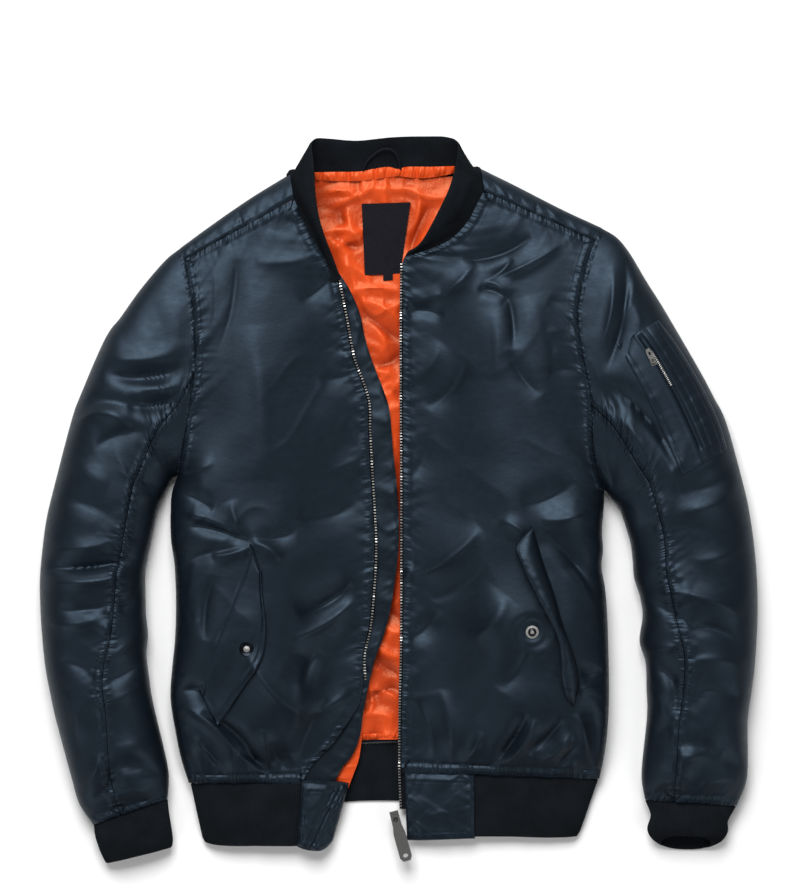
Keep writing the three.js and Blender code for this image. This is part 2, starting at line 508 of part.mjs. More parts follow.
function cuff(name, sections) {
  const ring = (thick) => sections.map((s, k) => steps(CUFF_ROUND).slice(1).map((turn) => {
    const share = (1 - Math.cos(2 * Math.PI * turn)) / 2;
    const width = Math.hypot(s.innerX - s.outerX, s.innerY - s.outerY);
    const w = 0.5 + (share - 0.5) * (1 - (2 * thick) / width);
    const z = turn <= 0.5 ? mix(s.crown / 2, s.crown - thick, domed(share))
      : mix(thick, s.crown / 2, 1 - domed(share));
    return inRow(mix(s.outerX, s.innerX, w), mix(s.outerY, s.innerY, w) + s.slant * (1 - z / s.crown), z);
  }));
  return wall(name, RIB, ring(0), ring(RIB_WALL), true);
}

// The lining over the inside of the back, and its wrinkles.
const LINING_EDGES = table("y left right rise",
  [184, 314, 456, 0], [205, 276, 500, 0], [240, 236, 546, 0], [290, 222, 556, 0], [360, 222, 556, 0],
  [440, 220, 566, 0], [520, 204, 572, 0], [600, 204, 578, 0], [690, 204, 578, 14], [770, 216, 570, 29]);
const LINING_FOLDS = table("x1 y1 x2 y2 width lift",
  [330, 190, 356, 196, 6, 2], [420, 188, 448, 194, 6, 2], [330, 225, 352, 300, 9, 2.5],
  [440, 215, 432, 300, 8, 2.5],
  [370, 310, 392, 352, 9, 2.5], [384, 400, 395, 470, 8, 2], [386, 520, 372, 610, 9, 2.5],
  [378, 650, 396, 700, 9, 2.5],
  [366, 690, 372, 730, 8, 2]);
const liningTop = (x, y) => LINING_TOP + foldLift(LINING_FOLDS, x, y);

function backLining() {
  const [down, across] = [14, 10];
  const plan = (r, c) => {
    const y = mix(LINING_EDGES[0].y, LINING_EDGES.at(-1).y, r / down);
    const u = c / across;
    const rise = column(LINING_EDGES, "rise", y, "y") * (1 - Math.abs(2 * u - 1) ** 2.2);
    const [left, right] = [column(LINING_EDGES, "left", y, "y"), column(LINING_EDGES, "right", y, "y")];
    return { x: mix(left, right, u), y: y - rise };
  };
  return patch("back_lining", LINING, down, across, plan,
    (r, c, p) => liningTop(p.x, p.y), () => LINING_BASE + LINING_CLEARANCE);
}

// The woven label with its small size tab, sewn on the lining below the collar.
const LABEL_OUTLINE = [[361.5, 202.5], [410.5, 201], [400.5, 272.5], [393, 272.8], [392.8, 279],
  [383.2, 279.8], [383, 273.2], [364.6, 274.4]];
const LABEL_THICK = 0.8;
const LABEL_CLEARANCE = 0.8;

function neckLabel() {
  const outline = new THREE.Shape(
    LABEL_OUTLINE.map(([x, y]) => new THREE.Vector2(x - PLAN_CENTRE.x, PLAN_CENTRE.y - y)));
  const geometry = new THREE.ExtrudeGeometry(outline, { depth: LABEL_THICK, bevelEnabled: false });
  geometry.translate(0, 0, LINING_TOP + LABEL_CLEARANCE);
  return named("label", new THREE.Mesh(geometry, LABEL));
}

// The height of what lies under a plan point, and of what lies around it.
const ray = new THREE.Raycaster();
const DOWN = new THREE.Vector3(0, 0, -1);
function topOf(meshes, x, y) {
  ray.set(inRow(x, y, 200), DOWN);
  const hit = ray.intersectObjects(meshes, false)[0];
  return hit ? hit.point.z : -Infinity;
}
const topsNear = (meshes, x, y, reach) => [[0, 0], [1, 0], [-1, 0], [0, 1], [0, -1]]
  .map(([dx, dy]) => topOf(meshes, x + reach * dx, y + reach * dy)).filter(Number.isFinite);
const highestNear = (meshes, x, y, reach) => Math.max(...topsNear(meshes, x, y, reach));
const lowestNear = (meshes, x, y, reach) => Math.min(...topsNear(meshes, x, y, reach));

// A zip tape with its row of teeth as one bead, sewn under an opening edge.
const TAPE_OFFSETS = [-5, 0.9, 1.8, 3.4, 4.6]; // from under the cloth to the teeth's outer face
const TAPE_TOPS = [0, 0, 1.9, 1.9, 0.2];
const TAPE_THICK = 1.2;
const TAPE_CLEARANCE = 0.9; // below the inner face of the cloth

function besidePath(path, t, offset, towards) {
  const [p, q] = [path(Math.max(0, t - 0.004)), path(Math.min(1, t + 0.004))];
  const d = new THREE.Vector2(q.x - p.x, q.y - p.y).normalize();
  const mid = path(t);
  const turn = Math.sign(d.y) * towards || towards;
  return { x: mid.x + d.y * offset * turn, y: mid.y - d.x * offset * turn };
}

function tapeHeights(path, count, towards, front) {
  return steps(count).map((t) => {
    const inside = besidePath(path, t, -2.5, towards);
    return lowestNear([front], inside.x, inside.y, 5);
  });
}

function zipTape(name, path, count, towards, heights) {
  const plan = (r, c) => besidePath(path, r / count, TAPE_OFFSETS[c], towards);
  const top = (r, c) => heights[r] - WALL - TAPE_CLEARANCE + TAPE_TOPS[c];
  const base = (r, c) => heights[r] - WALL - TAPE_CLEARANCE - TAPE_THICK - TAPE_TOPS[c] / 3;
  return patch(name, TAPE, count, TAPE_OFFSETS.length - 1, plan, top, base);
}

const ZIP_RIGHT = planPath([[337, 279], [341, 300], [345, 320], [348.5, 340], [353, 361], [361, 382],
  [367, 402],
  [368, 430], [370, 470], [372.5, 510], [374, 550], [372, 590], [368, 630], [362.5, 655], [363, 681]]);
const ZIP_LEFT = planPath([[403.6, 262], [403, 320], [403, 400], [403.5, 480], [403.5, 560],
  [403.3, 640], [402, 700],
  [401.5, 740], [401.5, 774], [403, 811]]);
const ZIP_RIGHT_ROWS = 24;
const ZIP_LEFT_ROWS = 22;
const zipRightHeights = tapeHeights(ZIP_RIGHT, ZIP_RIGHT_ROWS, 1, frontRight);
const zipLeftHeights = steps(ZIP_LEFT_ROWS).map((t) => {
  const p = ZIP_LEFT(t);
  return lowestNear([frontLeft, hemEndLeft], p.x + 5.5, p.y, 4);
});
const zipTapeRight = zipTape("zip_tape_right", ZIP_RIGHT, ZIP_RIGHT_ROWS, 1, zipRightHeights);
const zipTapeLeft = zipTape("zip_tape_left", ZIP_LEFT, ZIP_LEFT_ROWS, -1, zipLeftHeights);

// The wind flap behind the zip: a dark strip from under the right front's edge towards the opening.
const WIND_FLAP_INNER = planPath([[336, 279], [341, 300], [345, 320], [348.5, 340], [353, 361],
  [361, 382], [367, 402],
  [368, 430], [370, 470], [372.5, 510], [374, 550], [372, 590], [368, 630], [362.5, 655], [363, 680],
  [360.5, 702],
  [349, 721], [332, 745], [313, 765], [304, 779]]);
const WIND_FLAP_EDGE = planPath([[340, 274], [350, 290], [360, 314], [365, 338], [374, 366], [382, 386],
  [389, 408],
  [393, 450], [398, 500], [398.5, 549], [393, 594], [389, 616], [383, 638], [375.7, 658], [369, 684],
  [363, 715],
  [359.7, 737], [352, 756.5], [342, 769], [335, 779]]);
const WIND_FLAP_ROWS = 30;
const WIND_FLAP_COLUMNS = 3;
const WIND_FLAP_UNDERLAP = 9;
const WIND_FLAP_THICK = 1.6;
const WIND_FLAP_CLEARANCE = 4.4; // below the inner face of the front, with the zip tape between them
const WIND_FLAP_OVER_LINING = 5.5;
const WIND_FLAP_DROOP = 4;

function windFlap() {
  const heights = steps(WIND_FLAP_ROWS).map((t) => {
    const p = besidePath(WIND_FLAP_INNER, t, -4, 1);
    return highestNear([frontRight], p.x, p.y, 3) - WALL - WIND_FLAP_CLEARANCE;
  });
  const plan = (r, c) => {
    const t = r / WIND_FLAP_ROWS;
    const a = besidePath(WIND_FLAP_INNER, t, -WIND_FLAP_UNDERLAP, 1);
    const b = WIND_FLAP_EDGE(t);
    const u = c / WIND_FLAP_COLUMNS;
    return { x: mix(a.x, b.x, u), y: mix(a.y, b.y, u), u };
  };
  const top = (r, c, p) => Math.max(LINING_TOP + WIND_FLAP_OVER_LINING,
    heights[r] - WIND_FLAP_DROOP * p.u ** 2);
  return patch("wind_flap", TAPE, WIND_FLAP_ROWS, WIND_FLAP_COLUMNS, plan, top,
    (r, c, p) => top(r, c, p) - WIND_FLAP_THICK);
}

// The pocket flaps: the right one lies on its front with the snap shut, the left one stands curled open.
const FLAP_THICK = 2.2;
const FLAP_CLEARANCE = 0.7;
const FLAP_CURL = 2.2; // how far the free edge stands off the front
const FLAP_RIGHT_SEAM = planPath([[252, 543], [243, 570], [231.4, 601], [216.6, 638], [207, 667],
  [199.5, 691]]);
const FLAP_RIGHT_FREE = planPath([[262, 571], [264, 599], [267, 621], [266, 643], [262, 660],
  [240, 693], [219, 725]]);

function flapRight() {
  const [along, across] = [11, 6];
  const plan = (r, c) => {
    const [a, b] = [FLAP_RIGHT_SEAM(r / along), FLAP_RIGHT_FREE(r / along)];
    const u = c / across;
    return { x: mix(a.x, b.x, u), y: mix(a.y, b.y, u), u };
  };
  const base = (r, c, p) => highestNear([frontRight], p.x, p.y, 4) + FLAP_CLEARANCE +
    FLAP_CURL * p.u * p.u;
  return patch("pocket_flap_right", SHELL, along, across, plan,
    (r, c, p) => base(r, c, p) + FLAP_THICK, base);
}

const FLAP_LEFT_SEAM = planPath([[531, 527], [540, 560], [551, 592], [562, 630], [574, 668], [574, 700]]);
const FLAP_LEFT_REACH = table("at reach rise",
  [0, 14, 6], [0.12, 20, 14], [0.35, 19, 18], [0.6, 14, 19], [0.8, 17, 15], [1, 7, 5]);

function flapLeft() {
  const [along, across] = [12, 6];
  const mid = steps(along).map((t) => {
    const seam = FLAP_LEFT_SEAM(t);
    const floor = highestNear([frontLeft], seam.x, seam.y, 1) + 0.3 + FLAP_THICK / 2;
    const [reach, rise] = [column(FLAP_LEFT_REACH, "reach", t), column(FLAP_LEFT_REACH, "rise", t)];
    return steps(across).map((v) => inRow(
      seam.x + 3 * Math.sin(Math.PI * v) - reach * v * v, seam.y + 4 * v, floor + rise * Math.sin(1.9 * v)));
  });
  return sheet("pocket_flap_left", SHELL, mid, FLAP_THICK);
}

// Round metal parts, turned about an upright axis: radius and height pairs from the bottom up.
function turned(name, profile, sides, x, y, z) {
  const lathe = new THREE.LatheGeometry(profile.map(([r, h]) => new THREE.Vector2(r, h)), sides);
  lathe.rotateX(Math.PI / 2);
  lathe.translate(x - PLAN_CENTRE.x, PLAN_CENTRE.y - y, z);
  return named(name, new THREE.Mesh(lathe, STEEL));
}
const SNAP_CAP = [[0, 0], [7.4, 0], [7.4, 1.2], [6.4, 2.1], [4.2, 1.5], [0, 1.9]];
const SNAP_STUD = [[0, 0], [6.5, 0], [6.5, 0.9], [3.4, 1.1], [3, 3], [2.2, 3.4], [0, 3.4]];

const flapOnRight = flapRight();
const SNAP_CLEARANCE = 0.2;
const SNAP_SIDES = 28;
const snapOn = (name, profile, under, x, y) => turned(name, profile, SNAP_SIDES, x, y,
  highestNear([under], x, y, profile[1][0]) + SNAP_CLEARANCE);
const snapCap = snapOn("snap_cap", SNAP_CAP, flapOnRight, 247.5, 648);
const snapStud = snapOn("snap_stud", SNAP_STUD, frontLeft, 531.6, 631.3);

// The utility pocket on the left sleeve, with a raised pen channel along its outer side.
const sleeveRightPanels = sleeve("right", SLEEVE_RIGHT_SECTIONS, ARMHOLE_RIGHT, SLEEVE_RIGHT_FOLDS, 7);
const sleeveLeftPanels = sleeve("left", SLEEVE_LEFT_SECTIONS, ARMHOLE_LEFT, SLEEVE_LEFT_FOLDS, 8);
const ARM_POCKET_INNER = planPath([[616, 345], [630, 368], [648, 402], [664, 438], [681, 475]]);
const ARM_POCKET_OUTER = planPath([[658, 320], [675, 342], [694, 372], [711, 404], [721, 428], [727, 449]]);
const PEN_CHANNEL = table("across raise", [0, 0], [0.52, 0], [0.58, 1.6], [0.9, 1.6], [1, 0.6]);
const ARM_POCKET_CLEARANCE = 0.6;
const ARM_POCKET_THICK = 1.3;

function armPocket() {
  const across = [0, 0.1, 0.2, 0.3, 0.4, 0.5, 0.55, 0.6, 0.7, 0.8, 0.9, 1];
  const along = 12;
  const plan = (r, c) => {
    const [a, b] = [ARM_POCKET_INNER(r / along), ARM_POCKET_OUTER(r / along)];
    const u = across[c];
    return { x: mix(a.x, b.x, u), y: mix(a.y, b.y, u), u, t: r / along };
  };
  const base = (r, c, p) => highestNear(sleeveLeftPanels, p.x, p.y, 3) + ARM_POCKET_CLEARANCE;
  const raise = (p) =>
    column(PEN_CHANNEL, "raise", p.u, "across") * smooth(p.t * 12) * smooth((1 - p.t) * 12);
  return patch("arm_pocket", SHELL, along, across.length - 1, plan,
    (r, c, p) => base(r, c, p) + ARM_POCKET_THICK + raise(p), base);
}

// Zip sliders and their pulls. Local axes: x across the pull, y towards its eye, z up.
// The pin is at the origin.
function plate(outline, holes, depth) {
  const shape = new THREE.Shape(outline.map(([x, y]) => new THREE.Vector2(x, y)));
  shape.holes = holes.map((hole) => new THREE.Path(hole.map(([x, y]) => new THREE.Vector2(x, y))));
  return new THREE.ExtrudeGeometry(shape, { depth, bevelEnabled: false }).translate(0, 0, -depth / 2);
}
const ellipse = (x, y, rx, ry, count) => steps(count).slice(1).map((t) =>
  [x + rx * Math.cos(2 * Math.PI * t), y + ry * Math.sin(2 * Math.PI * t)]);

// A pull swings on the post of its slider: reach is how far its eye end passes the post,
// length how far its grip hangs.
const MAIN_PULL = { name: "zip_pull", x: 395.6, y: 820.5, tilt: 15.5, height: 19.4, half: 6.1,
  reach: 4.2, length: 43, thick: 1.8, eye: 2.6, grip: [2.6, 2] };
const MAIN_SLIDER = { name: "zip_slider", half: 4.4, above: 8, below: 9.5, low: 11.2, deck: 15.3,
  shoulder: 2.4, post: 0.7 };
const ARM_PULL = { name: "arm_zip_pull", x: 651.6, y: 361, tilt: -155, height: 0, half: 3,
  reach: 2.6, length: 13, thick: 1.2, eye: 1.5, grip: [1.1, 1.8] };
const ARM_SLIDER = { name: "arm_zip_slider", half: 2.9, above: 5, below: 5, low: 0, deck: 0,
  shoulder: 1.5, post: 0.5 };
const PULL_CLEARANCE = 0.3;

const pullPlace = ({ x, y, tilt }) => new THREE.Matrix4()
  .makeTranslation(x - PLAN_CENTRE.x, PLAN_CENTRE.y - y, 0)
  .multiply(new THREE.Matrix4().makeRotationZ(THREE.MathUtils.degToRad(tilt)));

function zipPull(pull) {
  const { half, reach, length, thick, height } = pull;
  const rightSide = [[half * 0.45, reach], [half * 0.72, reach * 0.5], [half * 0.76, -0.16 * length],
    [half, -0.34 * length], [half, 4 - length], [half * 0.6, -length]];
  const outline = [...rightSide, ...rightSide.map(([x, y]) => [-x, y]).reverse()];
  const eye = ellipse(0, 0, pull.eye, pull.eye, 14);
  const grip = ellipse(0, 1.6 + 2 * pull.grip[1] - length, ...pull.grip, 12);
  const geometry = plate(outline, [eye, grip], thick).translate(0, 0, height).applyMatrix4(pullPlace(pull));
  return named(pull.name, new THREE.Mesh(geometry, STEEL));
}

// A slider rides the teeth: a low deck, a shoulder that the pull rests on, and a post through the pull's eye.
const block = (x0, x1, y0, y1, z0, z1) =>
  new THREE.BoxGeometry(x1 - x0, y1 - y0, z1 - z0).translate((x0 + x1) / 2, (y0 + y1) / 2, (z0 + z1) / 2);

const wasm = await Module();
wasm.setup();
const solidOf = (geometry) => {
  const positions = geometry.toNonIndexed().getAttribute("position");
  const bare = new THREE.BufferGeometry().setAttribute("position", positions);
  const merged = mergeVertices(bare, 1e-3);
  return new wasm.Manifold(new wasm.Mesh({
    numProp: 3,
    vertProperties: merged.attributes.position.array,
    triVerts: new Uint32Array(merged.index.array),
  }));
};

function zipSlider(pull, { name, half, above, below, low, deck, shoulder, post }) {
  const seat = pull.height - pull.thick / 2 - PULL_CLEARANCE;
  const tall = pull.height + pull.thick - deck + 0.5;
  const upright = new THREE.CylinderGeometry(post, post, tall, 10).rotateX(Math.PI / 2);
  upright.translate(0, 0, (pull.height + pull.thick + deck - 0.5) / 2);
  const parts = [block(-half, half, -below, above, low, deck),
    block(-half * 0.6, half * 0.6, -below + 0.8, -shoulder, deck - 0.4, seat), upright];
  const { vertProperties, triVerts } = wasm.Manifold.union(parts.map(solidOf)).getMesh();
  const geometry = new THREE.BufferGeometry();
  geometry.setAttribute("position", new THREE.BufferAttribute(vertProperties, 3));
  geometry.setIndex(new THREE.BufferAttribute(triVerts, 1)).applyMatrix4(pullPlace(pull));
  geometry.computeVertexNormals();
  return named(name, new THREE.Mesh(geometry, STEEL));
}

const armPocketPiece = armPocket();
const armZipTop = highestNear([armPocketPiece], ARM_PULL.x, ARM_PULL.y, 4);
ARM_PULL.height = armZipTop + 3.9;
ARM_SLIDER.low = armZipTop + 0.3;
ARM_SLIDER.deck = armZipTop + 1.4;

// The hanger loop: a cord that arches over the inside of the back collar.
const LOOP = table("x y z", [363, 169, 11], [366.5, 161, 14.6], [373, 154.5, 16.8], [381, 149.2, 18.8],
  [388, 148.2, 19.2],
  [394.5, 151, 18], [399, 160, 14.6], [400.5, 168, 11]);
function hangerLoop() {
  const curve = new THREE.CatmullRomCurve3(LOOP.map((p) => inRow(p.x, p.y, p.z)), false, "centripetal");
  const [count, sides, radius] = [14, 6, 1.3];
  const frames = curve.computeFrenetFrames(count, false);
  const ring = (scale) => steps(count).map((t, i) => steps(sides).slice(1).map((turn) => {
    const angle = 2 * Math.PI * turn;
    return curve.getPointAt(t).addScaledVector(frames.normals[i], scale * Math.cos(angle))
      .addScaledVector(frames.binormals[i], scale * Math.sin(angle));
  }));
  return wall("hanger_loop", TAPE, ring(radius), ring(radius * 0.35), true);
}

const jacket = new THREE.Group();
jacket.add(
  frontRight, frontLeft, backPanel(),
  shoulderYoke("shoulder_yoke_right", SHOULDER_RIGHT, ARMHOLE_RIGHT, YOKE_NECK_RIGHT, 1),
  shoulderYoke("shoulder_yoke_left", SHOULDER_LEFT, ARMHOLE_LEFT, YOKE_NECK_LEFT, -1),
  ...sleeveRightPanels, ...sleeveLeftPanels, cuff("cuff_right", CUFF_RIGHT), cuff("cuff_left", CUFF_LEFT),
  collar, hemRib, hemEndRight, hemEndLeft,
  zipTapeRight, zipTapeLeft, zipSlider(MAIN_PULL, MAIN_SLIDER), zipPull(MAIN_PULL), windFlap(),
  flapOnRight, flapLeft(), snapCap, snapStud,
  armPocketPiece, zipSlider(ARM_PULL, ARM_SLIDER), zipPull(ARM_PULL),
  backLining(), neckLabel(), hangerLoop(),
);
export default jacket;
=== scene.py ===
"""The looks of a padded bomber jacket that lies flat on its back with its front open.

Plan sizes are millimetres on the laid-out garment, x to the right and y down, with PLAN_CENTRE over the
frame's origin; heights are millimetres over the floor. Right and left are the wearer's.
"""

import bpy
import numpy as np
from bpy.props import FloatProperty, FloatVectorProperty, PointerProperty
from bpy.types import Operator, Panel, PropertyGroup
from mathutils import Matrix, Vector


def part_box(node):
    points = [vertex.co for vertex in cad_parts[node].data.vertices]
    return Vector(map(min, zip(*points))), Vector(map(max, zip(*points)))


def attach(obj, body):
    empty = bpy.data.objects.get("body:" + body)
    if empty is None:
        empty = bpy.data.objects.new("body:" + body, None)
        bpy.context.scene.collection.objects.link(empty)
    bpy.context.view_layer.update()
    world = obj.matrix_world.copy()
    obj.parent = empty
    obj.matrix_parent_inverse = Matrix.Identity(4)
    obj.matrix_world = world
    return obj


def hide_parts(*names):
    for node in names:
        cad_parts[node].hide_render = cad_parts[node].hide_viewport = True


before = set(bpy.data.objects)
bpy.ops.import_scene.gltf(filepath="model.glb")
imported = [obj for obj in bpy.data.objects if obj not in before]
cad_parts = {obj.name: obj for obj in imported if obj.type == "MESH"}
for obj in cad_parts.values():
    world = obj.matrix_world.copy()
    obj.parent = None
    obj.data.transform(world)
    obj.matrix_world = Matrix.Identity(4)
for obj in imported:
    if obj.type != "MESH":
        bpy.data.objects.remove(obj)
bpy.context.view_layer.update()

bl_info = {
    "name": "Bomber jacket",
    "version": (1, 0, 0),
    "blender": (4, 5, 0),
    "location": "3D View > Sidebar > Jacket",
    "description": "Cloth, knit, lining, zips and stitching of a bomber jacket laid out flat",
    "category": "Add Mesh",
}

PLAN_CENTRE = np.array([398.75, 500.2])
BODY = "jacket"
SEAM_GAP = 0.3
WALL = 2.5
RIB_WALL = 3.0
SIDE_SEAM_HEIGHT = 17.0
HEM_SEAM_HEIGHT = 12.0
SLEEVE_SEAM_HEIGHT = 14.0
ARMHOLE_CROWN = 36.0
FLAT_SHARE = 0.75  # of a lying tube's underside
SIDE_ROUND = 42.0
BACK_ROUND = 14.0
HEM_LIFT = 38.5
SEAM_MAP = "seam"


# Small maths

def mix(a, b, t):
    """The value that is the share t of the way from a to b."""
    return a + (b - a) * t


def smooth(t):
    """Eases from 0 to 1: three t squared less two t cubed, held at its ends."""
    t = np.clip(t, 0, 1)
    return t * t * (3 - 2 * t)


def rounded(t):
    """A quarter circle from 0 to 1: the root of one less the square of what is left."""
    return np.sqrt(1 - (1 - np.clip(t, 0, 1)) ** 2)


def domed(share):
    """The height of a lying tube's top over its width, 0 at both edges and 1 at the middle."""
    return np.sqrt(np.maximum(0, 1 - np.abs(2 * share - 1) ** 2.4))


def turned_up(share):
    """The height of a lying tube's underside: flat for three quarters of its width, then a quarter circle."""
    past = np.clip((np.abs(2 * share - 1) - FLAT_SHARE) / (1 - FLAT_SHARE), 0, 1)
    return 1 - np.sqrt(1 - past * past)


def table(columns, *rows):
    """Named columns over rows of numbers."""
    return dict(zip(columns.split(), np.array(rows, float).T))


def column(rows, name, at, key="at"):
    """A table's column read between its rows: cubic spans whose slopes come from each row's neighbours."""
    k, v = rows[key], rows[name]
    low, high = np.r_[0, np.arange(len(k) - 1)], np.r_[np.arange(1, len(k)), len(k) - 1]
    slope = (v[high] - v[low]) / (k[high] - k[low])
    at = np.clip(at, k[0], k[-1])
    i = np.clip(np.searchsorted(k, at, side="left") - 1, 0, len(k) - 2)
    span = k[i + 1] - k[i]
    t = (at - k[i]) / span
    return ((2 * t**3 - 3 * t**2 + 1) * v[i] + (t**3 - 2 * t**2 + t) * span * slope[i]
            + (3 * t**2 - 2 * t**3) * v[i + 1] + (t**3 - t**2) * span * slope[i + 1])


def curve_through(points, by_length=True, per_span=48):
    """A centripetal curve through points, read from 0 to 1 by its length or by its stations.

    Each span is the cubic whose end slopes weigh the neighbouring spans by the root of their lengths.
    """
    p = np.array(points, float)
    p = np.vstack([2 * p[0] - p[1], p, 2 * p[-1] - p[-2]])
    a, b, c, d = p[:-3], p[1:-2], p[2:-1], p[3:]
    d0, d1, d2 = (np.sqrt(np.linalg.norm(v - u, axis=1))[:, None] for u, v in ((a, b), (b, c), (c, d)))
    m1 = ((b - a) / d0 - (c - a) / (d0 + d1) + (c - b) / d1) * d1
    m2 = ((c - b) / d1 - (d - b) / (d1 + d2) + (d - c) / d2) * d1
    t = np.linspace(0, 1, per_span, endpoint=False)[None, :, None]
    b, c, m1, m2 = b[:, None], c[:, None], m1[:, None], m2[:, None]
    spans = ((2 * t**3 - 3 * t**2 + 1) * b + (t**3 - 2 * t**2 + t) * m1
             + (3 * t**2 - 2 * t**3) * c + (t**3 - t**2) * m2)
    line = np.vstack([spans.reshape(-1, p.shape[1]), p[-2]])
    if by_length:
        run = lengths_along(line)
        run = run / run[-1]
    else:
        run = np.linspace(0, 1, len(line))
    return lambda share: np.stack([np.interp(share, run, axis) for axis in line.T], -1)


def ease_noise(values, at):
    """Random knots joined by easing, one knot for each whole number."""
    cell = np.floor(at).astype(int)
    n = len(values)
    return mix(values[cell % n], values[(cell + 1) % n], smooth(at - cell))


def wave(along, pitch, seed):
    """Uneven waves along a seam, from -1 to 1, about one for each pitch."""
    knots = np.random.default_rng(seed).uniform(-1, 1, 257)
    return ease_noise(knots, along / pitch + 500)


def cloud(x, y, size, seed):
    """Soft uneven bumps over the plan, from -1 to 1, size across: eased random values on a square lattice."""
    knots = np.random.default_rng(seed).uniform(-1, 1, (64, 64))
    gx, gy = x / size + 1000, y / size + 1000
    i, j = np.floor(gx).astype(int), np.floor(gy).astype(int)
    u, v = smooth(gx - i), smooth(gy - j)
    i, j, k, m = i % 64, j % 64, (i + 1) % 64, (j + 1) % 64
    return mix(mix(knots[i, j], knots[k, j], u), mix(knots[i, m], knots[k, m], u), v)


def crease_lift(creases, x, y):
    """Ridges, and troughs where lift is negative, along bowed lines on the plan.

    Each is lift times a soft crest and a narrower one on top of it, both falling off with the distance from
    the line, wider on the side that it leans to, and tapers to nothing at its ends.
    """
    total = np.zeros(np.broadcast(x, y).shape)
    for x1, y1, x2, y2, bow, width, lift, lean in zip(*creases.values()):
        dx, dy = x2 - x1, y2 - y1
        length = np.hypot(dx, dy)
        t = ((x - x1) * dx + (y - y1) * dy) / length**2
        along = np.clip(t, 0, 1)
        off = ((x - x1) * dy - (y - y1) * dx) / length - 4 * bow * along * (1 - along)
        wide = width * (1 + 0.45 * lean * np.tanh(off / 3))
        away = np.hypot(off, (t - along) * length) / wide
        crest = 0.66 * np.exp(-(away**2)) + 0.34 * np.exp(-((away / 0.3) ** 2))
        total += lift * (4 * along * (1 - along)) ** 0.9 * crest
    return total


def lengths_along(line):
    """The length of a line from its start to each of its points."""
    return np.r_[0, np.cumsum(np.linalg.norm(np.diff(line, axis=0), axis=1))]


# Meshes

def to_frame(grid):
    """Plan millimetres and height to metres in the shared frame."""
    out = np.empty(grid.shape)
    out[..., 0] = (grid[..., 0] - PLAN_CENTRE[0]) / 1000
    out[..., 1] = (PLAN_CENTRE[1] - grid[..., 1]) / 1000
    out[..., 2] = grid[..., 2] / 1000
    return out


def stacked(x, y, z):
    """A grid of points from their plan places and heights."""
    return np.stack(np.broadcast_arrays(x, y, z), -1)


def grid_normals(grid, loop=False):
    """Unit normals of a grid: the cross product of its two directions."""
    if loop:
        grid = np.concatenate([grid[:, -1:], grid, grid[:, :1]], 1)
    normal = np.cross(np.gradient(grid, axis=1), np.gradient(grid, axis=0))
    if loop:
        normal = normal[:, 1:-1]
    return normal / np.maximum(np.linalg.norm(normal, axis=-1, keepdims=True), 1e-9)


def quads(a, b, c, d):
    """Four-sided faces from grids of their corners' numbers."""
    return np.stack([a, b, c, d], -1).reshape(-1, 4)


def mesh_object(name, points, faces, material, uv=None):
    """One smooth-shaded mesh object at the origin that rides on the jacket's body."""
    mesh = bpy.data.meshes.new(name)
    mesh.from_pydata(points.tolist(), [], faces.tolist())
    if uv is not None:
        layer = mesh.uv_layers.new(name="UVMap")
        corner = np.empty(len(mesh.loops), dtype=np.int32)
        mesh.loops.foreach_get("vertex_index", corner)
        layer.data.foreach_set("uv", uv[corner].astype(np.float32).ravel())
    mesh.polygons.foreach_set("use_smooth", np.ones(len(mesh.polygons), dtype=bool))
    mesh.materials.append(material)
    mesh.update()
    obj = bpy.data.objects.new(name, mesh)
    bpy.context.scene.collection.objects.link(obj)
    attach(obj, BODY)
    return obj


def map_seams(obj, run, away):
    """Adds the seam map: for each grid point, the length along the nearest seam and the distance from it."""
    grid = np.stack(np.broadcast_arrays(run, away), -1).reshape(-1, 2) / 1000
    place = np.concatenate([grid, grid])
    layer = obj.data.uv_layers.new(name=SEAM_MAP)
    corner = np.empty(len(obj.data.loops), dtype=np.int32)
    obj.data.loops.foreach_get("vertex_index", corner)
    layer.data.foreach_set("uv", place[corner].astype(np.float32).ravel())


def nearest_seam(*seams):
    """The run and distance of whichever seam is nearest; each seam is given as a run and a distance."""
    runs, distances = (np.stack(np.broadcast_arrays(*values)) for values in zip(*seams))
    pick = distances.argmin(0)[None]
    return np.take_along_axis(runs, pick, 0)[0], np.take_along_axis(distances, pick, 0)[0]


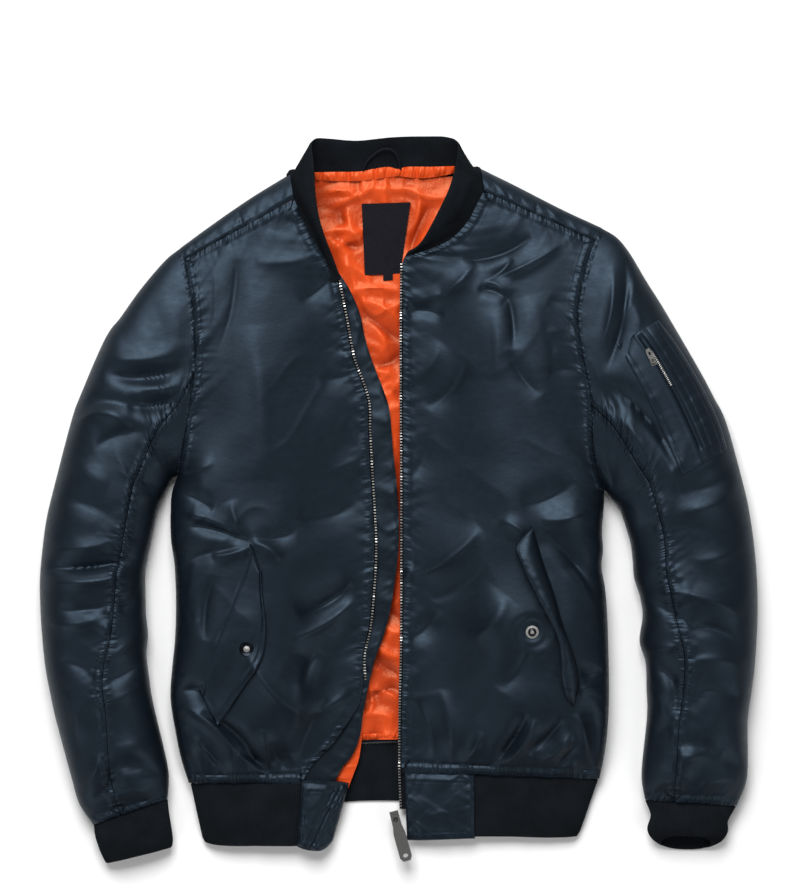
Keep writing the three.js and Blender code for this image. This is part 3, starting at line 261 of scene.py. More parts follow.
def closed_wall(name, outer, inner, material, loop=False):
    """A closed wall between two grids of points that pair up: strips join its rim and its faces look out."""
    rows, cols = outer.shape[:2]
    points = to_frame(np.concatenate([outer.reshape(-1, 3), inner.reshape(-1, 3)]))
    top = np.arange(rows * cols).reshape(rows, cols)
    low = top + rows * cols
    if loop:
        top, low = np.hstack([top, top[:, :1]]), np.hstack([low, low[:, :1]])
    faces = [quads(top[:-1, :-1], top[:-1, 1:], top[1:, 1:], top[1:, :-1]),
             quads(low[:-1, :-1], low[1:, :-1], low[1:, 1:], low[:-1, 1:]),
             quads(top[0, :-1], low[0, :-1], low[0, 1:], top[0, 1:]),
             quads(top[-1, :-1], top[-1, 1:], low[-1, 1:], low[-1, :-1])]
    if not loop:
        faces += [quads(top[:-1, 0], top[1:, 0], low[1:, 0], low[:-1, 0]),
                  quads(top[:-1, -1], low[:-1, -1], low[1:, -1], top[1:, -1])]
    faces = np.concatenate(faces)
    corner = points[faces]
    sweep = np.cross(corner[:, 2] - corner[:, 0], corner[:, 3] - corner[:, 1])
    if np.sum(sweep * corner.mean(1)) < 0:
        faces = faces[:, ::-1]
    across = np.linalg.norm(np.diff(outer, axis=1), axis=-1).mean(0)
    down = np.linalg.norm(np.diff(outer, axis=0), axis=-1).mean(1)
    u, v = np.meshgrid(np.r_[0, np.cumsum(across)], np.r_[0, np.cumsum(down)])
    uv = np.stack([u, v], -1).reshape(-1, 2) / 1000
    obj = mesh_object(name, points, faces, material, np.concatenate([uv, uv]))
    obj.data.set_sharp_from_angle(angle=np.radians(62))
    return obj


def cloth_wall(name, outer, thick, material, faces_down=False):
    """A wall of even thickness under an outer grid: the inner one is the outer moved back along its normals.

    The normals are turned so that most of the outer face looks up, or down where faces_down is set.
    """
    normal = grid_normals(outer)
    if (normal[..., 2].mean() < 0) != faces_down:
        normal = -normal
    return closed_wall(name, outer, outer - thick * normal, material)


def soft_wall(name, mid, thick, material, ribs=None, depth=0.0, loop=False, edge=1.6):
    """A wall about a middle grid, half its thickness to each side along the normals, its free edges rounded.

    The half thickness falls by a quarter circle over the last edge millimetres to the last row and both ends.
    Ribs is a phase in turns for each column: knitted ribs of that depth stand out on both faces as cosines.
    """
    rows, cols = mid.shape[:2]
    down = np.linalg.norm(np.diff(mid, axis=0), axis=-1).mean(1)
    across = np.linalg.norm(np.diff(mid, axis=1), axis=-1).mean(0)
    to_free = np.r_[np.cumsum(down[::-1])[::-1], 0][:, None]
    half = rounded(to_free / edge)
    if not loop:
        run = np.r_[0, np.cumsum(across)][None, :]
        half = half * rounded(run / edge) * rounded((run[0, -1] - run) / edge)
    half = 0.15 + (thick / 2 - 0.15) * half
    if ribs is not None:
        fade = np.broadcast_to(smooth(to_free / 2), (rows, cols))
        half = half + depth * np.cos(2 * np.pi * ribs)[None, :] * fade
    push = half[..., None] * grid_normals(mid, loop)
    return closed_wall(name, mid + push, mid - push, material, loop)


def joined_solids(name, centres, frames, shape, faces, material):
    """Copies of one small shape as one mesh: each shape point is carried by its copy's three directions."""
    points = centres[:, None] + np.einsum("pk,nkj->npj", shape, frames)
    index = faces[None] + (np.arange(len(centres)) * len(shape))[:, None, None]
    points, index = to_frame(points.reshape(-1, 3)), index.reshape(-1, faces.shape[1])
    return mesh_object(name, points, index, material)


def along_line(line, pitch, start=0.0):
    """Evenly spaced points on a line in space, with its direction at each."""
    run = lengths_along(line)
    at = np.arange(start, run[-1], pitch)
    point = np.stack([np.interp(at, run, axis) for axis in line.T], -1)
    ahead = np.stack([np.interp(at + 0.5, run, axis) for axis in line.T], -1)
    back = np.stack([np.interp(at - 0.5, run, axis) for axis in line.T], -1)
    way = ahead - back
    return point, way / np.maximum(np.linalg.norm(way, axis=1, keepdims=True), 1e-9)


def frames_of(way, up=(0, 0, 1)):
    """Three unit directions at each point: along, across and up."""
    across = np.cross(up, way)
    across /= np.maximum(np.linalg.norm(across, axis=1, keepdims=True), 1e-9)
    return np.stack([way, across, np.cross(way, across)], 1)


# Materials

def material_nodes(name):
    """A material with its tree emptied but for a shader and the output."""
    material = bpy.data.materials.get(name) or bpy.data.materials.new(name)
    material.use_nodes = True
    tree = material.node_tree
    tree.nodes.clear()
    out = tree.nodes.new("ShaderNodeOutputMaterial")
    shader = tree.nodes.new("ShaderNodeBsdfPrincipled")
    tree.links.new(shader.outputs[0], out.inputs[0])
    return material, tree, shader


def add_noise(tree, scale, detail=3.0, stretch=(1, 1, 1), rough=0.55):
    """Noise on the object's own coordinates, stretched along its axes."""
    where = tree.nodes.new("ShaderNodeTexCoord")
    turn = tree.nodes.new("ShaderNodeMapping")
    turn.inputs["Scale"].default_value = stretch
    noise = tree.nodes.new("ShaderNodeTexNoise")
    noise.inputs["Scale"].default_value = scale
    noise.inputs["Detail"].default_value = detail
    noise.inputs["Roughness"].default_value = rough
    tree.links.new(where.outputs["Object"], turn.inputs["Vector"])
    tree.links.new(turn.outputs[0], noise.inputs["Vector"])
    return noise.outputs["Fac"]


def add_range(tree, value, low, high):
    """Spreads noise, which keeps near its middle, over low to high."""
    spread = tree.nodes.new("ShaderNodeMapRange")
    spread.inputs["From Min"].default_value = 0.3
    spread.inputs["From Max"].default_value = 0.7
    spread.inputs["To Min"].default_value = low
    spread.inputs["To Max"].default_value = high
    tree.links.new(value, spread.inputs["Value"])
    return spread.outputs["Result"]


def add_bump(tree, shader, layers):
    """Bumps one over another: each is a height, its depth in metres and its strength."""
    normal = None
    for height, depth, strength in layers:
        bump = tree.nodes.new("ShaderNodeBump")
        bump.inputs["Distance"].default_value = depth
        bump.inputs["Strength"].default_value = strength
        tree.links.new(height, bump.inputs["Height"])
        if normal:
            tree.links.new(normal, bump.inputs["Normal"])
        normal = bump.outputs[0]
    tree.links.new(normal, shader.inputs["Normal"])


def add_colour(tree, shader, value, low, high):
    """Colours between two shades by a value."""
    blend = tree.nodes.new("ShaderNodeMix")
    blend.data_type = "RGBA"
    share, first, second = blend.inputs[0], blend.inputs[6], blend.inputs[7]
    first.default_value = (*low, 1)
    second.default_value = (*high, 1)
    tree.links.new(value, share)
    tree.links.new(blend.outputs[2], shader.inputs["Base Color"])


def add_puckers(tree):
    """Fine puckers beside the seams: noise along the seam, stretched across it, that fades from 2 to 11 mm.

    It reads the seam map, which holds the length along the nearest seam and the distance from it.
    """
    where = tree.nodes.new("ShaderNodeUVMap")
    where.uv_map = SEAM_MAP
    stretch = tree.nodes.new("ShaderNodeMapping")
    stretch.inputs["Scale"].default_value = (1, 0.16, 0)
    noise = tree.nodes.new("ShaderNodeTexNoise")
    noise.inputs["Scale"].default_value = 210
    noise.inputs["Detail"].default_value = 1
    split = tree.nodes.new("ShaderNodeSeparateXYZ")
    fade = tree.nodes.new("ShaderNodeMapRange")
    fade.interpolation_type = "SMOOTHSTEP"
    fade.inputs["From Min"].default_value = 0.011
    fade.inputs["From Max"].default_value = 0.002
    product = tree.nodes.new("ShaderNodeMath")
    product.operation = "MULTIPLY"
    tree.links.new(where.outputs[0], stretch.inputs["Vector"])
    tree.links.new(stretch.outputs[0], noise.inputs["Vector"])
    tree.links.new(where.outputs[0], split.inputs[0])
    tree.links.new(split.outputs["Y"], fade.inputs["Value"])
    tree.links.new(add_range(tree, noise.outputs["Fac"], 0, 1), product.inputs[0])
    tree.links.new(fade.outputs["Result"], product.inputs[1])
    return product.outputs[0]


def shade(colour, k):
    """A colour made k times as bright."""
    return tuple(float(c) * k for c in colour)


def shell_nylon(cloth, name="shell_nylon", painted_shade_factor=1.0):
    """Satin nylon: dark cloth with a bluish gloss, a fine weave, faint crumpling and puckers by its seams."""
    material, tree, shader = material_nodes(name)
    # A factor below one darkens the whole colour as painted shade; the wind flap's copy uses half.
    shell = shade(cloth.shell_colour, painted_shade_factor)
    patchy = add_noise(tree, 26, 3)
    crumple = add_noise(tree, 120, 4, (1, 1.5, 1))
    weave = add_noise(tree, 2600, 1, (1, 0.35, 1))
    add_colour(tree, shader, add_range(tree, patchy, 0, 1), shade(shell, 0.88), shade(shell, 1.12))
    tree.links.new(add_range(tree, crumple, cloth.shell_roughness - 0.04, cloth.shell_roughness + 0.05),
                   shader.inputs["Roughness"])
    shader.inputs["Specular IOR Level"].default_value = 0.42
    shader.inputs["Specular Tint"].default_value = (0.52, 0.74, 1.0, 1)
    add_bump(tree, shader, [(crumple, 0.0005, 0.3), (add_puckers(tree), 0.0012, 1.0), (weave, 0.00012, 0.3)])
    return material


def rib_knit(cloth):
    """Soft near-black knitted wool: very dull, with a fuzzy bump."""
    material, tree, shader = material_nodes("knitted_rib")
    fuzz = add_noise(tree, 900, 3)
    patchy = add_noise(tree, 40, 2)
    dark, light = shade(cloth.rib_colour, 0.8), shade(cloth.rib_colour, 1.25)
    add_colour(tree, shader, add_range(tree, patchy, 0, 1), dark, light)
    shader.inputs["Roughness"].default_value = 0.92
    shader.inputs["Specular IOR Level"].default_value = 0.1
    add_bump(tree, shader, [(fuzz, 0.0005, 0.5)])
    return material


def lining_satin(cloth):
    """Bright lining satin: smooth and crumpled, with painted shade that makes it darker and redder in its low
    places.
    """
    material, tree, shader = material_nodes("lining_satin")
    crumple = add_noise(tree, 170, 4, (1.4, 1, 1))
    where = tree.nodes.new("ShaderNodeTexCoord")
    split = tree.nodes.new("ShaderNodeSeparateXYZ")
    # Painted shade: the colour darkens and reddens from 9.5 mm down to 4.5 mm over the floor, for the shade
    # in the satin's folds.
    depth = tree.nodes.new("ShaderNodeMapRange")
    depth.inputs["From Min"].default_value = 0.0045
    depth.inputs["From Max"].default_value = 0.0095
    tree.links.new(where.outputs["Object"], split.inputs[0])
    tree.links.new(split.outputs["Z"], depth.inputs["Value"])
    red, green, blue = cloth.lining_colour
    add_colour(tree, shader, depth.outputs["Result"], (0.5 * red, 0.36 * green, 0.36 * blue),
               shade(cloth.lining_colour, 1.12))
    shader.inputs["Roughness"].default_value = 0.4
    shader.inputs["Specular IOR Level"].default_value = 0.6
    shader.inputs["Specular Tint"].default_value = (1.0, 0.55, 0.3, 1)
    add_bump(tree, shader, [(crumple, 0.0011, 0.6)])
    return material


def plain_cloth(name, colour, roughness, weave_scale):
    """Close-woven tape or label cloth, cord or thread: one dark colour with a fine weave."""
    material, tree, shader = material_nodes(name)
    weave = add_noise(tree, weave_scale, 2, (1, 0.3, 1))
    add_colour(tree, shader, add_range(tree, weave, 0, 1), shade(colour, 0.7), shade(colour, 1.35))
    shader.inputs["Roughness"].default_value = roughness
    shader.inputs["Specular IOR Level"].default_value = 0.06
    add_bump(tree, shader, [(weave, 0.0002, 0.5)])
    return material


def aged_metal(name, colour, roughness):
    """Worn plated metal, duller and darker in soft random patches."""
    material, tree, shader = material_nodes(name)
    patchy = add_noise(tree, 700, 4)
    add_colour(tree, shader, add_range(tree, patchy, 0, 1), shade(colour, 0.6), shade(colour, 1.1))
    tree.links.new(add_range(tree, patchy, roughness + 0.15, roughness - 0.05), shader.inputs["Roughness"])
    shader.inputs["Metallic"].default_value = 1
    add_bump(tree, shader, [(patchy, 0.0001, 0.25)])
    return material


def ringed_metal(name, centre, bright_to, dark_to, bright, dark):
    """Plated metal coloured by the distance from its middle: bright, then a dark ring, then bright again. On
    the snap cap the bright middle is a painted highlight.
    """
    material, tree, shader = material_nodes(name)
    where = tree.nodes.new("ShaderNodeTexCoord")
    shift = tree.nodes.new("ShaderNodeMapping")
    shift.vector_type = "POINT"
    shift.inputs["Location"].default_value = (-centre[0], -centre[1], 0)
    shift.inputs["Scale"].default_value = (1, 1, 0)
    far = tree.nodes.new("ShaderNodeVectorMath")
    far.operation = "LENGTH"
    tree.links.new(where.outputs["Object"], shift.inputs["Vector"])
    tree.links.new(shift.outputs[0], far.inputs[0])
    ramp = tree.nodes.new("ShaderNodeValToRGB")
    ramp.color_ramp.interpolation = "EASE"
    spread = tree.nodes.new("ShaderNodeMapRange")
    spread.inputs["From Max"].default_value = 0.01
    tree.links.new(far.outputs["Value"], spread.inputs["Value"])
    tree.links.new(spread.outputs["Result"], ramp.inputs[0])
    stops = ((0, bright), (bright_to * 0.8, bright), (bright_to, dark), (dark_to, dark),
             (dark_to * 1.12, bright))
    for place, colour in stops:
        stop = ramp.color_ramp.elements.new(min(1, place / 10))
        stop.color = (*colour, 1)
    ramp.color_ramp.elements.remove(ramp.color_ramp.elements[-1])
    tree.links.new(ramp.outputs[0], shader.inputs["Base Color"])
    worn = add_noise(tree, 800, 3)
    tree.links.new(add_range(tree, worn, 0.4, 0.22), shader.inputs["Roughness"])
    shader.inputs["Metallic"].default_value = 1
    add_bump(tree, shader, [(worn, 0.0001, 0.2)])
    return material


# The garment's lines on the plan

ARMHOLE_RIGHT = curve_through([
    [180, 247], [184, 260], [188.5, 282], [192.5, 305], [195, 335], [195.5, 362], [192.5, 390],
    [189, 412], [184, 440], [180, 460], [177, 476]])
ARMHOLE_LEFT = curve_through([
    [602, 227], [594, 244], [587, 265], [580.5, 290], [577.5, 314], [579, 335], [583, 360], [588, 382],
    [591.5, 410], [592.5, 440], [597, 467], [605, 490]])
SIDE_RIGHT = curve_through([
    [177, 476], [171.5, 492], [170, 512], [170.5, 540], [174, 565], [175.5, 605], [174.5, 640],
    [171.5, 670], [170, 698], [174.5, 730], [180.5, 760], [188, 784.2]])
SIDE_LEFT = curve_through([
    [605, 490], [604, 512], [602.5, 530], [603.5, 550], [602, 567], [605.5, 588], [607.5, 612],
    [609, 655], [609.5, 700], [607.5, 737], [604, 762], [600, 780]])
RIGHT_EDGE = [
    [341, 300], [345, 320], [348.5, 340], [353, 361], [361, 382], [367, 402], [368, 430], [370, 470],
    [372.5, 510], [374, 550], [372, 590], [368, 630], [362.5, 655]]
RIGHT_CORNER = [[363, 680], [360.5, 702], [349, 721], [332, 745], [313, 765]]
LEFT_EDGE = [
    [403, 320], [403, 400], [403.5, 480], [403.5, 560], [403.3, 640], [402, 700], [401.5, 740], [401.5, 774]]
OPENING_RIGHT = curve_through([
    [294, 199], [300, 213], [307, 228], [316, 244], [325, 258.5], [336, 277], *RIGHT_EDGE, *RIGHT_CORNER,
    [301, 784.2]])
OPENING_LEFT = curve_through([
    [484, 191], [477, 204], [470, 218], [460, 231], [448, 241], [434, 247.5], [418, 253], [404, 258],
    [403.3, 270], *LEFT_EDGE])
SHOULDER_RIGHT = curve_through([[290, 173], [250, 197.5], [215, 221.5], [180, 247]])
SHOULDER_LEFT = curve_through([[480.5, 167.5], [520, 187], [562, 208.5], [602, 227]])
YOKE_NECK_RIGHT = np.array([294.0, 199.0])
YOKE_NECK_LEFT = np.array([484.0, 191.0])
YOKE_SHARE = float((1 - np.cos(np.pi * 2 / 13)) / 2)

FRONT_RIGHT_HEIGHTS = table(
    "at crown edge",
    [0, 29, 30], [0.1, 35, 31], [0.17, 39, 28], [0.3, 43, 24], [0.5, 46, 21], [0.7, 47, 20.5],
    [0.85, 46, 20.5], [0.93, 40, 20], [0.975, 31, 19.5], [1, 20, 18.5])
FRONT_LEFT_HEIGHTS = table(
    "at crown edge",
    [0, 29, 30], [0.1, 36, 31], [0.2, 41, 25], [0.35, 45, 22], [0.5, 46, 20.5], [0.7, 47, 20],
    [0.85, 46, 19.5], [0.93, 40, 18.5], [0.975, 30, 17], [1, 18.5, 14.5])

CREASE_COLUMNS = "x1 y1 x2 y2 bow width lift lean"
FRONT_RIGHT_CREASES = table(
    CREASE_COLUMNS,
    [214, 268, 205, 352, 5, 8, 3.4, 0], [236, 258, 216, 356, 6, 9, -3.4, 0.4],
    [206, 300, 196, 372, 2, 6, 2.2, 0], [300, 302, 340, 264, -4, 11, -4, 0],
    [255, 262, 330, 250, -5, 12, 2.6, 0], [250, 325, 262, 480, 6, 28, 3.6, 0],
    [298, 614, 352, 582, -6, 13, -6.5, 0.5], [292, 640, 356, 598, -5, 12, 4.2, 0],
    [248, 652, 305, 716, -8, 14, 4, 0], [305, 716, 352, 688, -5, 14, 3.6, 0],
    [304, 690, 318, 650, 4, 12, -3.2, 0], [183, 524, 252, 543, 3, 8, -4.2, 0.4],
    [190, 512, 240, 536, 2, 8, 3, 0], [213, 556, 253, 545, -2, 7, 3.2, 0],
    [186, 560, 250, 548, 3, 8, -3, 0], [252, 541, 282, 560, 3, 7, 3, 0],
    [256, 538, 296, 532, -3, 8, -2.4, 0], [246, 538, 232, 500, 3, 8, 2.6, 0],
    [180, 492, 214, 510, 2, 8, -3.6, 0], [176, 506, 206, 520, -2, 6, 2.6, 0],
    [180, 468, 215, 462, -3, 9, 2.6, 0], [176, 690, 206, 692, 2, 9, -4.4, 0],
    [178, 706, 236, 754, 8, 8, 5, 0.3], [236, 754, 262, 776, 3, 6, 3.6, 0],
    [200, 712, 258, 770, 10, 8, -5.6, 0], [240, 752, 276, 780, 3, 7, -4.6, 0],
    [196, 742, 226, 776, 3, 7, -3.6, 0], [182, 730, 214, 768, 4, 6, 3, 0],
    [270, 742, 292, 776, -3, 8, -3.2, 0], [262, 728, 268, 774, 3, 7, 3, 0],
    [300, 655, 284, 752, 8, 22, 4, 0], [330, 700, 300, 762, -6, 10, -3, 0],
    [214, 575, 206, 640, -4, 9, -3.2, 0], [196, 560, 190, 640, -5, 10, 3, 0],
    [176, 590, 192, 624, 3, 8, -2.6, 0], [320, 380, 356, 372, -2, 9, -2.2, 0],
    [330, 470, 366, 452, -3, 12, 2, 0], [300, 520, 360, 500, -6, 14, -2.2, 0])
FRONT_LEFT_CREASES = table(
    CREASE_COLUMNS,
    [462, 260, 532, 236, -7, 9, -6.5, 0.4], [432, 300, 474, 262, -5, 9, 4.6, 0],
    [484, 279, 566, 240, -6, 8, 4.6, 0.4], [486, 281, 512, 258, -3, 7, -4.6, 0],
    [487, 280, 506, 300, 3, 8, 4, 0], [478, 290, 508, 300, 4, 7, -5, 0],
    [505, 290, 512, 350, 4, 9, -4.6, 0.4], [508, 350, 540, 396, -4, 9, -3.4, 0],
    [528, 296, 546, 372, 6, 20, 2.2, 0], [492, 308, 494, 380, 4, 16, 2.2, 0],
    [406, 312, 444, 316, 4, 8, -4.6, 0], [412, 300, 440, 292, -3, 8, 2.6, 0],
    [426, 408, 466, 360, -8, 12, -4.4, 0], [414, 380, 440, 342, -5, 12, 3, 0],
    [548, 300, 580, 318, 3, 8, -4, 0], [546, 332, 584, 322, -3, 8, 3.4, 0],
    [552, 352, 590, 350, -3, 10, 3.4, 0], [548, 372, 588, 376, 4, 9, -3.6, 0],
    [404, 576, 480, 528, -9, 12, 4.2, 0.4], [430, 600, 486, 566, -6, 14, -3, 0],
    [500, 520, 530, 540, 3, 9, 3, 0], [520, 505, 575, 480, -6, 12, -3.2, 0],
    [540, 520, 600, 508, -4, 11, 3.4, 0], [545, 534, 598, 612, 8, 12, -5.4, 0.4],
    [572, 566, 600, 628, 5, 9, 4.2, 0], [580, 674, 608, 666, -2, 8, -5, 0],
    [578, 690, 607, 688, 2, 8, 3.4, 0], [470, 640, 506, 596, -6, 20, 3.6, 0],
    [500, 690, 530, 640, -6, 16, -3, 0], [487, 770, 526, 712, -5, 7, -6, 0.3],
    [504, 768, 536, 718, -4, 8, 4.6, 0], [528, 752, 562, 716, -4, 7, -4.8, 0],
    [540, 764, 572, 732, -3, 7, 4, 0], [545, 776, 576, 742, -3, 6, -4, 0],
    [462, 768, 482, 730, -3, 7, 3, 0], [415, 700, 432, 762, 5, 12, -3.4, 0],
    [440, 690, 452, 760, 4, 13, 3.2, 0], [590, 700, 596, 760, 4, 9, -4, 0],
    [576, 712, 588, 770, 4, 9, 3.6, 0], [408, 480, 430, 440, -4, 12, -2.4, 0],
    [410, 640, 440, 610, -4, 12, -2.6, 0])
SLEEVE_RIGHT_CREASES = table(
    CREASE_COLUMNS,
    [104, 374, 188, 366, -8, 11, -9.5, 0.4], [110, 356, 186, 350, -7, 10, 4.4, 0],
    [128, 404, 182, 398, -5, 11, -10.5, 0], [140, 388, 184, 384, -3, 7, 4, 0],
    [82, 404, 140, 410, 6, 9, -5.4, 0.4], [74, 424, 134, 430, 14, 9, 5.6, 0],
    [96, 448, 148, 430, 5, 10, -4.6, 0], [150, 448, 184, 444, -3, 7, -5.2, 0],
    [148, 462, 180, 456, -3, 7, 3.8, 0], [142, 482, 172, 478, -3, 7, -4, 0],
    [134, 498, 160, 502, 3, 7, 3, 0], [164, 296, 182, 354, 4, 14, 1.2, 0],
    [150, 300, 164, 350, 5, 16, -1.0, 0], [130, 320, 150, 352, 4, 16, 1.0, 0],
    [40, 566, 142, 557, -5, 8, -8.5, 0.5], [42, 580, 146, 570, -6, 9, 5.6, 0],
    [44, 548, 120, 540, -4, 10, 3.6, 0], [114, 606, 146, 590, -4, 8, -7, 0],
    [120, 594, 148, 578, -3, 6, 4, 0], [58, 608, 118, 602, -4, 8, -4.6, 0],
    [46, 622, 100, 618, -4, 9, 3.4, 0], [100, 660, 148, 622, -6, 8, 4.8, 0],
    [104, 682, 148, 652, -5, 8, -5.8, 0.3], [112, 700, 150, 676, -4, 8, 4, 0],
    [60, 660, 96, 680, 5, 10, -3, 0], [76, 744, 66, 690, -5, 12, 3, 0],
    [108, 766, 164, 776, 5, 8, -5.6, 0.4], [112, 752, 160, 752, 4, 8, 4, 0],
    [80, 790, 102, 748, -5, 8, 4.6, 0], [92, 800, 118, 762, -5, 8, -4.2, 0],
    [108, 800, 150, 790, 3, 6, 3.6, 0], [62, 470, 110, 486, 6, 12, 3, 0],
    [58, 500, 116, 520, 6, 12, -3.4, 0], [128, 540, 150, 528, -3, 8, -3, 0])
SLEEVE_LEFT_CREASES = table(
    CREASE_COLUMNS,
    [624, 250, 604, 372, 10, 8, -7, 0.4], [612, 262, 598, 352, 6, 7, 4.6, 0],
    [636, 262, 614, 330, 6, 9, 4.4, 0], [602, 382, 672, 470, 12, 10, -8.5, 0.4],
    [600, 404, 654, 478, 9, 9, 5, 0], [594, 384, 618, 420, 4, 7, -5, 0],
    [640, 420, 676, 492, 6, 9, 4.4, 0], [598, 452, 616, 500, 3, 7, -5.4, 0],
    [604, 488, 640, 494, 3, 7, -5, 0], [606, 500, 642, 512, 4, 7, 4, 0],
    [624, 526, 660, 520, -3, 8, -4, 0], [680, 492, 738, 466, -7, 10, -5, 0.3],
    [672, 512, 742, 486, -7, 12, 4.4, 0], [690, 560, 752, 540, -6, 14, 3.6, 0],
    [640, 560, 690, 590, 6, 12, 3, 0], [638, 600, 688, 626, 5, 9, -6.4, 0.4],
    [688, 626, 735, 638, 4, 9, -5.6, 0.4], [648, 592, 744, 616, 8, 10, 4.6, 0],
    [644, 648, 682, 642, -3, 8, 5, 0], [642, 664, 676, 684, 5, 8, -7.4, 0],
    [668, 672, 674, 716, 4, 7, -5.6, 0], [648, 690, 664, 716, 3, 7, 4.2, 0],
    [690, 660, 746, 668, 5, 12, 3.4, 0], [696, 690, 742, 700, 5, 12, -3.4, 0],
    [678, 744, 722, 756, 4, 8, -5, 0.3], [720, 756, 750, 778, 3, 8, -5, 0],
    [652, 760, 720, 742, -6, 9, 4.4, 0], [646, 740, 670, 718, -4, 8, -4, 0],
    [650, 784, 690, 772, -3, 7, 3.6, 0], [700, 786, 740, 782, 3, 7, 3.6, 0],
    [628, 300, 640, 330, 3, 10, 3, 0], [694, 470, 730, 452, -3, 7, 3, 0])

SLEEVE_RIGHT_SECTIONS = table(
    "outerX outerY innerX innerY crown seam",
    [180, 247, 177, 476, 36, 0.5603], [164, 260, 173.5, 477, 39, 0.66], [140, 288, 171.5, 478, 42, 0.69],
    [120, 316, 170, 480, 45, 0.71], [104, 338, 168, 484, 47, 0.73], [80, 393, 161, 499, 48, 0.74],
    [70, 421, 157, 510, 49, 0.735], [52, 490, 150.5, 541, 49, 0.75], [45, 520, 147, 557, 48, 0.76],
    [41, 550, 144.5, 573, 48, 0.75], [38.5, 580, 144.5, 593, 49, 0.735], [39, 610, 145, 615, 49, 0.71],
    [41, 640, 147, 635, 48, 0.665], [44, 668, 145.5, 655, 47, 0.605], [49, 695, 148, 677, 47, 0.55],
    [55, 722, 152, 703, 46, 0.53], [70, 778, 166, 763, 42, 0.42], [78, 805, 168, 783, 36, 0.41],
    [92, 826, 166.5, 800, 25, 0.38])
SLEEVE_LEFT_SECTIONS = table(
    "outerX outerY innerX innerY crown seam",
    [602, 227, 605, 490, 36, 0.6773], [618, 237, 607.5, 492, 39, 0.7], [631, 253, 609, 494, 42, 0.71],
    [647, 280, 610.5, 496, 44, 0.72], [664, 307, 612, 498, 46, 0.73], [699, 367, 617, 504, 48, 0.735],
    [715, 397, 620, 508, 49, 0.73], [728, 424, 623, 516, 49, 0.73], [746, 490, 631, 542, 48, 0.735],
    [752, 520, 633.5, 560, 48, 0.74], [756, 550, 635, 578, 48, 0.75], [758.5, 582, 641, 598, 49, 0.755],
    [759, 612, 643.5, 617, 49, 0.73], [758, 640, 640.5, 642, 48, 0.655],
    [756, 668, 646.5, 663, 47, 0.66], [752.5, 696, 647.5, 690, 46, 0.67],
    [749, 724, 648, 717, 45, 0.695], [748.5, 778, 642.5, 774, 39, 0.69], [738, 807, 646, 801, 25, 0.69])
for sections in (SLEEVE_RIGHT_SECTIONS, SLEEVE_LEFT_SECTIONS):
    sections["at"] = np.arange(len(sections["crown"]), dtype=float)
HIDDEN_SEAM = 1 - 6 / 26


# The fronts

def joined_border(armhole, side):
    """The outer boundary of a front, armhole and then side seam, by its share of length."""
    arm_share, side_share = np.linspace(YOKE_SHARE, 1, 200), np.linspace(0, 1, 260)[1:]
    line = np.vstack([armhole(arm_share), side(side_share)])
    run = lengths_along(line)
    return {"share": run / run[-1], "line": line, "length": run[-1], "underarm": run[199] / run[-1],
            "arm": np.r_[arm_share, np.ones(259)], "side": np.r_[np.zeros(200), side_share]}


def border_point(border, at):
    """The plan point at a share of a border's length."""
    return (np.interp(at, border["share"], axis) for axis in border["line"].T)


def side_seam_height(side):
    """The side seam's height by its share downwards.

    The sleeve's eases into the side's over the first quarter, and that into the hem's over the last.
    """
    low = mix(SIDE_SEAM_HEIGHT, HEM_SEAM_HEIGHT, smooth((side - 0.75) / 0.25))
    return mix(SLEEVE_SEAM_HEIGHT, low, smooth(side * 4))


FRONTS = {
    "front_right": {
        "border": joined_border(ARMHOLE_RIGHT, SIDE_RIGHT), "opening": OPENING_RIGHT, "towards": 1,
        "heights": FRONT_RIGHT_HEIGHTS, "creases": FRONT_RIGHT_CREASES, "seed": 11, "stud": None},
    "front_left": {
        "border": joined_border(ARMHOLE_LEFT, SIDE_LEFT), "opening": OPENING_LEFT, "towards": -1,
        "heights": FRONT_LEFT_HEIGHTS, "creases": FRONT_LEFT_CREASES, "seed": 37, "stud": "snap_stud"},
}
PLACKET = 9.0
HEM_BAND = 9.0


